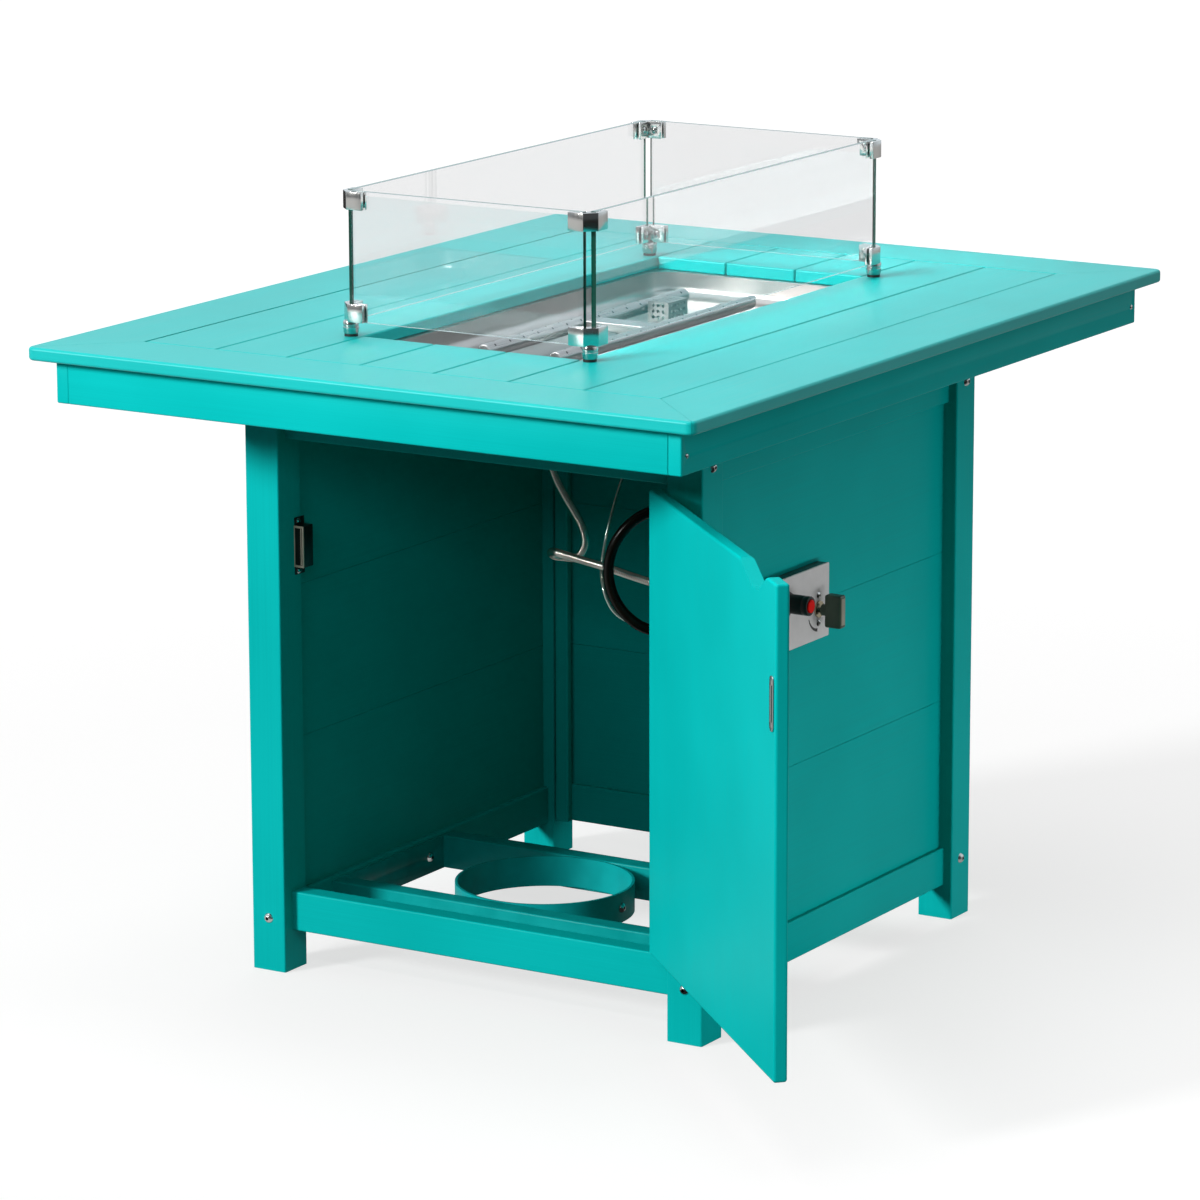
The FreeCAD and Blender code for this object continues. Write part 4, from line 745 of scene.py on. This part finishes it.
def cord_ends():
    nuts = [hex_nut(*VALVE_NUT, Vector(VALVE_NUT_PLACE) * MM, (1, 0, 0)),
            hex_nut(*BURNER_NUT, Vector(BURNER_NUT_PLACE) * MM, (0, 0, 1))]
    piece("pipe_nuts", nuts, BRASS, "table")
    sleeve = scaled(BOOT_OUTLINE, MM, MM)
    boots = [turned(sleeve, Vector(IGNITER_BOOT_PLACE) * MM, (1, 0, 0), BOOT_STEPS),
             turned(sleeve, Vector(PILOT_BOOT_PLACE) * MM, (0, 0, 1), BOOT_STEPS)]
    piece("wire_boots", boots, BLACK_PLASTIC, "table")


# Magnetic catch: a black housing on a tab, and zinc plated poles round the magnet in its face
CATCH_HEAD = 9.0 * MM
CATCH_FACE = 2.2 * MM
CATCH_ROUND = 0.8 * MM
TAB_THICK = 2.0 * MM
TAB_INSET = 1.0 * MM
TAB_ROUND = 0.6 * MM
MAGNET_GAP = 0.6 * MM
MAGNET_FROM = 0.7 * MM
MAGNET_TO = 3.0 * MM
MAGNET_END = 3.2 * MM
MAGNET_FAR = 4.6 * MM
MAGNET_ROUND = 0.2 * MM
NEAR_POLE = 1.3 * MM
NEAR_POLE_SET = 0.3 * MM
FAR_POLE = 1.6 * MM
INNER_POLE_FROM = 4.4 * MM
INNER_POLE_TO = 2.8 * MM
INNER_POLE_END = 3.0 * MM
INNER_POLE_SET = 0.5 * MM
POLE_ROUND = 0.3 * MM
BAR_HEIGHT = 2.6 * MM
BAR_SET = 0.4 * MM
BAR_ROUND = 0.4 * MM


def catch():
    low, high = corners(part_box("door_catch"))
    foot = low.z + CATCH_HEAD
    head = high.z - CATCH_HEAD
    housing = [slab((low.x, low.y + CATCH_FACE / 2, foot), (high.x, high.y, head), CATCH_ROUND),
               slab((low.x, low.y + TAB_INSET, low.z),
                    (low.x + TAB_THICK, high.y - TAB_INSET, high.z), TAB_ROUND),
               slab((low.x + NEAR_POLE + MAGNET_GAP, low.y + MAGNET_FROM, foot + MAGNET_END),
                    (high.x - MAGNET_FAR, low.y + MAGNET_TO, head - MAGNET_END), MAGNET_ROUND)]
    piece("door_catch_housing", housing, BLACK_PLASTIC, "table", ("door_catch",))

    face = low.y + CATCH_FACE
    poles = [slab((low.x, low.y + NEAR_POLE_SET, foot), (low.x + NEAR_POLE, face, head), POLE_ROUND),
             slab((high.x - FAR_POLE, low.y, foot), (high.x, face, head), BAR_ROUND),
             slab((high.x - INNER_POLE_FROM, low.y + INNER_POLE_SET, foot + INNER_POLE_END),
                  (high.x - INNER_POLE_TO, face, head - INNER_POLE_END), POLE_ROUND)]
    for level in (foot, head - BAR_HEIGHT):
        poles.append(slab((low.x + NEAR_POLE, low.y + BAR_SET, level),
                          (high.x - FAR_POLE, face, level + BAR_HEIGHT), BAR_ROUND))
    piece("door_catch_poles", poles, ZINC, "table")


# Control plate's mark, igniter body and knob face
VALVE_AXIS = (-0.051, 0.4405)
ARC_RADIUS = 23.6 * MM
ARC_FROM = math.radians(200.0)
ARC_TO = math.radians(264.0)
ARC_THIN = 0.5 * MM
ARC_THICK = 1.9 * MM
ARC_SUNK = 0.05 * MM
ARC_PROUD = 0.25 * MM
ARC_STEPS = 20
IGNITER_RADIUS = 11.0 * MM
IGNITER_TAIL = 3.0 * MM
IGNITER_SHANK = 10.0 * MM
IGNITER_SHANK_BACK = -32.0 * MM
IGNITER_LIFT = 0.2 * MM
IGNITER_GROOVE = ((1.0, 0.72), (0.97, 0.74), (0.97, 0.76), (1.0, 0.78))
IGNITER_LIP = ((1.0, 1.0 * MM), (0.97, 0.3 * MM), (0.91, 0.0))
IGNITER_BORE = 7.8 * MM
IGNITER_MOUTH = 1.04
IGNITER_MOUTH_DEPTH = 0.4 * MM
IGNITER_BORE_DEPTH = 15.0 * MM
IGNITER_STEPS = 40
IGNITER_NUT = (25.2 * MM, 3.0 * MM)
PADDLE_SIDE = 2.6 * MM
PADDLE_END = 3.4 * MM
PADDLE_SUNK = 1.2 * MM
PADDLE_PROUD = 0.35 * MM
PADDLE_ROUND = 0.6 * MM
PADDLE_SEGMENTS = 3


def arc_mark(face):
    """A tapered arc on the plate, beside the knob."""
    centre = Vector((face - ARC_SUNK, *VALVE_AXIS))
    bm = bmesh.new()
    rows = []
    for step in range(ARC_STEPS + 1):
        share = step / ARC_STEPS
        angle = ARC_FROM + (ARC_TO - ARC_FROM) * share
        half = ARC_THIN + (ARC_THICK - ARC_THIN) * share
        way = Vector((0, math.cos(angle), math.sin(angle)))
        rows.append([bm.verts.new(centre + way * (ARC_RADIUS + side * half)) for side in (-1, 1)])
    faces = [bm.faces.new((first[0], first[1], second[1], second[0]))
             for first, second in zip(rows, rows[1:])]
    grown = bmesh.ops.extrude_face_region(bm, geom=faces)["geom"]
    raised = [item for item in grown if isinstance(item, bmesh.types.BMVert)]
    bmesh.ops.translate(bm, vec=(ARC_PROUD, 0, 0), verts=raised)
    piece("control_plate_mark", [bm], MARK_PAINT, "table")


def igniter(face):
    """A turned body with a groove and a bored front, held by a hexagon nut on the plate."""
    low, high = corners(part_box("igniter_body"))
    middle = (low + high) / 2
    place = (face, middle.y, middle.z)
    tail = low.x - face
    front = high.x - face
    bore_end = front - IGNITER_BORE_DEPTH
    profile = [(0.0, tail), (IGNITER_TAIL, tail), (IGNITER_TAIL, IGNITER_SHANK_BACK),
               (IGNITER_SHANK, IGNITER_SHANK_BACK), (IGNITER_SHANK, 0.0), (IGNITER_RADIUS, IGNITER_LIFT)]
    profile += scaled(IGNITER_GROOVE, IGNITER_RADIUS, front)
    profile += [(IGNITER_RADIUS * out, front - drop) for out, drop in IGNITER_LIP]
    profile += [(IGNITER_MOUTH * IGNITER_BORE, front), (IGNITER_BORE, front - IGNITER_MOUTH_DEPTH),
                (IGNITER_BORE, bore_end), (0.0, bore_end)]
    shapes = [turned(profile, place, (1, 0, 0), IGNITER_STEPS), hex_nut(*IGNITER_NUT, place, (1, 0, 0))]
    piece("igniter_body_turned", shapes, BLACK_PLASTIC, "table", ("igniter_body",))


def controls():
    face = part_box("control_plate")[1][0]
    arc_mark(face)
    igniter(face)
    low, high = corners(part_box("valve_knob"))
    end_low = (high.x - PADDLE_SUNK, low.y + PADDLE_SIDE, low.z + PADDLE_END)
    end_high = (high.x + PADDLE_PROUD, high.y - PADDLE_SIDE, high.z - PADDLE_END)
    paddle_end = slab(end_low, end_high, PADDLE_ROUND, PADDLE_SEGMENTS)
    piece("valve_knob_face", [paddle_end], KNOB_FACE, "knob")


# Hinge screws
HINGE_PIN = Vector((0.244, -0.3058, 0.0))
DOOR_OPEN = math.radians(136.0)
HINGE_LOWS = (0.127, 0.501)
SCREW_RISES = (10 * MM, 31 * MM, 52 * MM)
LEAF_THICK = 2.0 * MM
FRAME_SCREW_IN = 17.0 * MM
DOOR_SCREW_PLACE = (-4.5 * MM, 10.5 * MM)
FRAME_SCREW_RADIUS = 3.1 * MM
DOOR_SCREW_RADIUS = 2.6 * MM
LEAF_SCREW_HEIGHT = 0.7 * MM


def hinge_screws():
    leg_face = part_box("leg_front_right")[0][0]
    fixed = []
    moving = []
    swung = Matrix.Translation(HINGE_PIN) @ Matrix.Rotation(DOOR_OPEN, 4, "Z")
    door_way = swung.to_3x3() @ Vector((1, 0, 0))
    for base in HINGE_LOWS:
        for rise in SCREW_RISES:
            spot = Vector((leg_face - LEAF_THICK, HINGE_PIN.y + FRAME_SCREW_IN, base + rise))
            fixed.append(small_screw(spot, (-1, 0, 0), FRAME_SCREW_RADIUS, LEAF_SCREW_HEIGHT))
            spot = swung @ Vector((*DOOR_SCREW_PLACE, base + rise))
            moving.append(small_screw(spot, door_way, DOOR_SCREW_RADIUS, LEAF_SCREW_HEIGHT))
    piece("hinge_frame_screws", fixed, POLISHED, "table")
    piece("hinge_door_screws", moving, POLISHED, "door")


# Gas ports along both upper sides of the burner's tubes, drawn as near-black discs: painted shade for the
# dark inside of each drilled hole
PORT_PITCH = 31 * MM
PORT_RADIUS = 1.6 * MM
PORT_RIM = 0.8
PORT_PROUD = 0.1 * MM
PORT_SUNK = 0.5 * MM
PORT_END = 18 * MM
PORT_RISE = math.radians(46.0)
PORT_STEPS = 12


def gas_ports():
    boxes = [span(points) for points in solids_of("burner")]
    tubes = sorted(boxes, key=lambda box: box[0].y - box[1].y)[:2]
    profile = [(0.0, -PORT_SUNK), (PORT_RADIUS, -PORT_SUNK), (PORT_RADIUS, 0.0),
               (PORT_RIM * PORT_RADIUS, PORT_PROUD), (0.0, PORT_PROUD)]
    shapes = []
    for low, high in tubes:
        middle = (low + high) / 2
        radius = (high.x - low.x) / 2
        count = round((high.y - low.y - 2 * PORT_END) / PORT_PITCH)
        for side in (-1, 1):
            way = Vector((side * math.cos(PORT_RISE), 0.0, math.sin(PORT_RISE)))
            for index in range(count + 1):
                spot = Vector((middle.x, middle.y + (index - count / 2) * PORT_PITCH, middle.z))
                shapes.append(turned(profile, spot + way * radius, way, PORT_STEPS))
    piece("burner_port_hole_shade", shapes, PORT_HOLE_SHADE, "table")


# Turned posts under the guard's corners, in shares of a post's radius and height
POST_OUTLINE = ((0.0, 0.0), (0.84, 0.0), (0.94, 0.10), (0.94, 0.30), (1.0, 0.36), (1.0, 0.52), (0.93, 0.56),
                (0.93, 0.62), (1.0, 0.66), (1.0, 0.92), (0.94, 1.0), (0.0, 1.0))


def posts():
    shapes = []
    for points in solids_of("guard_posts"):
        low, high = span(points)
        foot = ((low.x + high.x) / 2, (low.y + high.y) / 2, low.z)
        shapes.append(turned(scaled(POST_OUTLINE, (high.x - low.x) / 2, high.z - low.z), foot))
    piece("guard_posts_turned", shapes, POLISHED, "guard", ("guard_posts",))


# Glass: clear faces; upright edges dark green, painted shade over the glass's green edge tint; level rims
# pale, a painted highlight over the same tint
SHADED_UPRIGHT_EDGE = 1
HIGHLIT_LEVEL_RIM = 2
FACES_UP = 0.9
FACES_ASIDE = 0.5


def panes():
    source = merged_copy("guard_panes")
    boxes = [span(points) for points in solids_of("guard_panes")]
    for face in source.faces:
        spot = face.calc_center_median()
        low, high = next(box for box in boxes
                         if all(box[0][a] - MERGE <= spot[a] <= box[1][a] + MERGE for a in range(3)))
        thin = min(range(3), key=lambda a: high[a] - low[a])
        if abs(face.normal.z) > FACES_UP:
            face.material_index = HIGHLIT_LEVEL_RIM
        elif abs(face.normal[thin]) < FACES_ASIDE:
            face.material_index = SHADED_UPRIGHT_EDGE
    item = piece("guard_panes_polished", [source], GLASS, "guard", ("guard_panes",))
    item.data.materials.append(GLASS_EDGE_TINT_AND_SHADE)
    item.data.materials.append(GLASS_RIM_TINT_AND_HIGHLIGHT)
    item.visible_shadow = False


# Lamps: suns with a direction, a level and an angle, and panels with a place, a size, a power and a beam
KEY_FROM = (-0.439, -0.831, 0.385)
KEY_LEVEL = 0.79
KEY_SPREAD = 12.0
TOP_FROM = (-0.1, -0.12, 0.985)
TOP_LEVEL = 0.27
TOP_SPREAD = 40.0
SIDE_FROM = (0.9, 0.25, 0.36)
SIDE_LEVEL = 0.07
SIDE_SPREAD = 50.0
BACK_FROM = (-0.25, 0.9, 0.4)
BACK_LEVEL = 0.28
BACK_SPREAD = 60.0
BOX_PLACE = (0.15, -0.35, 2.0)
BOX_FROM = (0.0, 0.0, 1.0)
BOX_SIZE = (1.2, 0.6)
BOX_POWER = 5.5
STRIP_PLACE = (0.0, -1.2, 0.95)
STRIP_FROM = (0.0, -1.0, 0.25)
STRIP_SIZE = (1.4, 0.12)
STRIP_POWER = 3.2
LOW_PLACE = (1.5, 0.1, 0.15)
LOW_FROM = (1.0, 0.0, 0.0)
LOW_SIZE = (1.6, 0.2)
LOW_POWER = 1.6
WIDE_BEAM = 180.0
LOW_BEAM = 80.0

# White room and pale floor
SKY_LEVEL = 0.035
BACKDROP_WAY = (-0.42, 0.68, 0.6)
BACKDROP_RANGE = (-0.25, 0.45)
MIRRORED_DARK = 0.08
MIRRORED_LEVEL = 0.95
MIRRORED_TINT = (0.9, 1.0, 1.08, 1.0)
WHITE = (1.0, 1.0, 1.0, 1.0)
BLACK = (0.0, 0.0, 0.0, 1.0)
FLOOR_HALF = 30.0
FLOOR_DROP = 0.0004
FLOOR_GLOW = (0.70, 0.79)
GLOW_RANGE = (1.2, 3.0)
FLOOR_MIRRORED = (0.02, 0.7)
CORNER_SHIFT = 0.25
CORNER_RANGE = (-0.2, 0.5)
FLOOR_GREY = (0.35, 0.35, 0.35, 1.0)
FLOOR_BOUNCE = (0.17, 0.17, 0.17)


def sun(name, source, level, spread_angle, mirrored=True):
    data = bpy.data.lights.new(name, "SUN")
    data.energy = math.pi * level
    data.angle = math.radians(spread_angle)
    lamp = bpy.data.objects.new(name, data)
    lamp.rotation_euler = Vector(source).to_track_quat("Z", "Y").to_euler()
    lamp.visible_glossy = mirrored
    lamp.visible_transmission = mirrored
    scene.collection.objects.link(lamp)


def panel_light(name, place, source, size, power, beam):
    """A soft panel of light, not seen by the camera, in gloss or in the glass."""
    data = bpy.data.lights.new(name, "AREA")
    data.shape = "RECTANGLE"
    data.size, data.size_y = size
    data.energy = power
    data.spread = math.radians(beam)
    lamp = bpy.data.objects.new(name, data)
    lamp.matrix_world = facing(place, source)
    lamp.visible_camera = False
    lamp.visible_glossy = False
    lamp.visible_transmission = False
    scene.collection.objects.link(lamp)


def lamps():
    sun("key_light", KEY_FROM, KEY_LEVEL, KEY_SPREAD)
    sun("top_light", TOP_FROM, TOP_LEVEL, TOP_SPREAD)
    sun("side_light", SIDE_FROM, SIDE_LEVEL, SIDE_SPREAD)
    sun("back_light", BACK_FROM, BACK_LEVEL, BACK_SPREAD, mirrored=False)
    panel_light("overhead_box", BOX_PLACE, BOX_FROM, BOX_SIZE, BOX_POWER, WIDE_BEAM)
    panel_light("front_strip", STRIP_PLACE, STRIP_FROM, STRIP_SIZE, STRIP_POWER, WIDE_BEAM)
    panel_light("floor_bounce", LOW_PLACE, LOW_FROM, LOW_SIZE, LOW_POWER, LOW_BEAM)


def seen_straight(tree, path):
    """1 for what the camera sees straight on or through glass."""
    return sums(tree, "MAXIMUM", path["Is Camera Ray"], path["Is Transmission Ray"])


def white_room():
    """A world that is white where it is seen, and mirrored bright only from behind and above."""
    world = bpy.data.worlds.new("white_room")
    world.use_nodes = True
    scene.world = world
    tree = world.node_tree
    path = put(tree, "LightPath").outputs
    way = put(tree, "TexCoord").outputs["Generated"]
    ahead = put(tree, "VectorMath", {0: way, 1: BACKDROP_WAY}, operation="DOT_PRODUCT").outputs["Value"]
    backdrop = spread(tree, ahead, MIRRORED_DARK, MIRRORED_LEVEL, *BACKDROP_RANGE)
    mirrored = sums(tree, "MULTIPLY", path["Is Glossy Ray"], backdrop)
    bright = sums(tree, "MAXIMUM", seen_straight(tree, path), mirrored)
    background = tree.nodes["Background"].inputs
    tree.links.new(mixed(tree, path["Is Glossy Ray"], WHITE, MIRRORED_TINT), background["Color"])
    tree.links.new(sums(tree, "MAXIMUM", bright, SKY_LEVEL), background["Strength"])


def floor_finish():
    """A matt floor that glows to white with distance and is mirrored bright in two of its corners."""
    material = bpy.data.materials.new("pale_floor")
    material.use_nodes = True
    tree = material.node_tree
    tree.nodes.remove(tree.nodes["Principled BSDF"])
    path = put(tree, "LightPath").outputs
    grey = mixed(tree, path["Is Glossy Ray"], bounce_toned(tree, FLOOR_GREY, FLOOR_BOUNCE), BLACK)
    matt = put(tree, "BsdfDiffuse", {"Color": grey})
    spot = put(tree, "TexCoord").outputs["Object"]
    reach = put(tree, "VectorMath", {0: spot}, operation="LENGTH").outputs["Value"]
    bright = spread(tree, reach, *FLOOR_GLOW, *GLOW_RANGE)
    way = put(tree, "VectorMath", {0: spot}, operation="NORMALIZE").outputs[0]
    axes = put(tree, "SeparateXYZ", {0: way}).outputs
    corner = sums(tree, "MULTIPLY", axes["X"], sums(tree, "SUBTRACT", axes["Y"], CORNER_SHIFT))
    mirrored = spread(tree, corner, *FLOOR_MIRRORED, *CORNER_RANGE)
    shine = sums(tree, "ADD", sums(tree, "MULTIPLY", seen_straight(tree, path), bright),
                 sums(tree, "MULTIPLY", path["Is Glossy Ray"], mirrored))
    glow = put(tree, "Emission", {"Strength": shine})
    both = put(tree, "AddShader", {0: matt.outputs[0], 1: glow.outputs[0]})
    tree.links.new(both.outputs[0], tree.nodes["Material Output"].inputs["Surface"])
    return material


def pale_floor():
    bm = bmesh.new()
    bmesh.ops.create_grid(bm, x_segments=1, y_segments=1, size=FLOOR_HALF,
                          matrix=Matrix.Translation((0, 0, -FLOOR_DROP)))
    mesh = bpy.data.meshes.new("floor")
    bm.to_mesh(mesh)
    bm.free()
    mesh.materials.append(floor_finish())
    floor = bpy.data.objects.new("floor", mesh)
    scene.collection.objects.link(floor)


# CAD nodes that keep their shape, and those whose edges are eased by a width in millimetres
EASED = (("aprons_end", BOARD_X, 1.2), ("aprons_side", BOARD_Y, 1.6), ("guard_clamps", CLAMP_STEEL, 0.6),
         ("guard_plates", CLAMP_STEEL, 0.4), ("tank_cradle", CRADLE_PAINT, 0.8),
         ("hinge_frame_leaves", STEEL_Z, 0.3), ("hinge_door_leaves", STEEL_Z, 0.3),
         ("door_strike", STEEL_Z, 0.6), ("control_plate", PLATE_PAINT, 0.3),
         ("control_box", BOX_PAINT_AND_SHADE, 0.3))


def boards_and_fittings():
    dress(TOP_X, "border_front", "border_back")
    dress(TOP_Y, "border_left", "border_right", "boards_left", "boards_right", "boards_front",
          "boards_back")
    dress(BOARD_X, "rails_front", "rails_back", "panel_back", "top_battens")
    dress(BOARD_Y, "rails_left", "rails_right", "panel_left", "panel_right", "top_bearers")
    dress(BOARD_Z, "leg_front_left", "leg_front_right", "leg_back_left", "leg_back_right", "door_panel",
          "panel_battens")
    dress(PAN_STEEL, "burner_pan")
    dress(BURNER_STEEL, "burner")
    dress(CAGE_STEEL, "pilot_cage")
    dress(STEEL_Z, "hinge_pins")
    dress(POLISHED, "valve_stem")
    dress(PAD_RUBBER, "guard_pads")
    dress(RING_PAINT, "tank_ring")
    dress(BRASS, "valve_body", "valve_plunger", "hose_elbow")
    dress(KNOB_PLASTIC, "valve_knob")
    dress(BUTTON_RED, "igniter_button")
    dress(CERAMIC, "ignition_electrode")
    for node, material, width in EASED:
        eased(node, material, width * MM)


photo_camera()
cords()
cord_ends()
boards_and_fittings()
panes()
gas_ports()
posts()
catch()
controls()
hinge_screws()
bolts()
lamps()
white_room()
pale_floor()
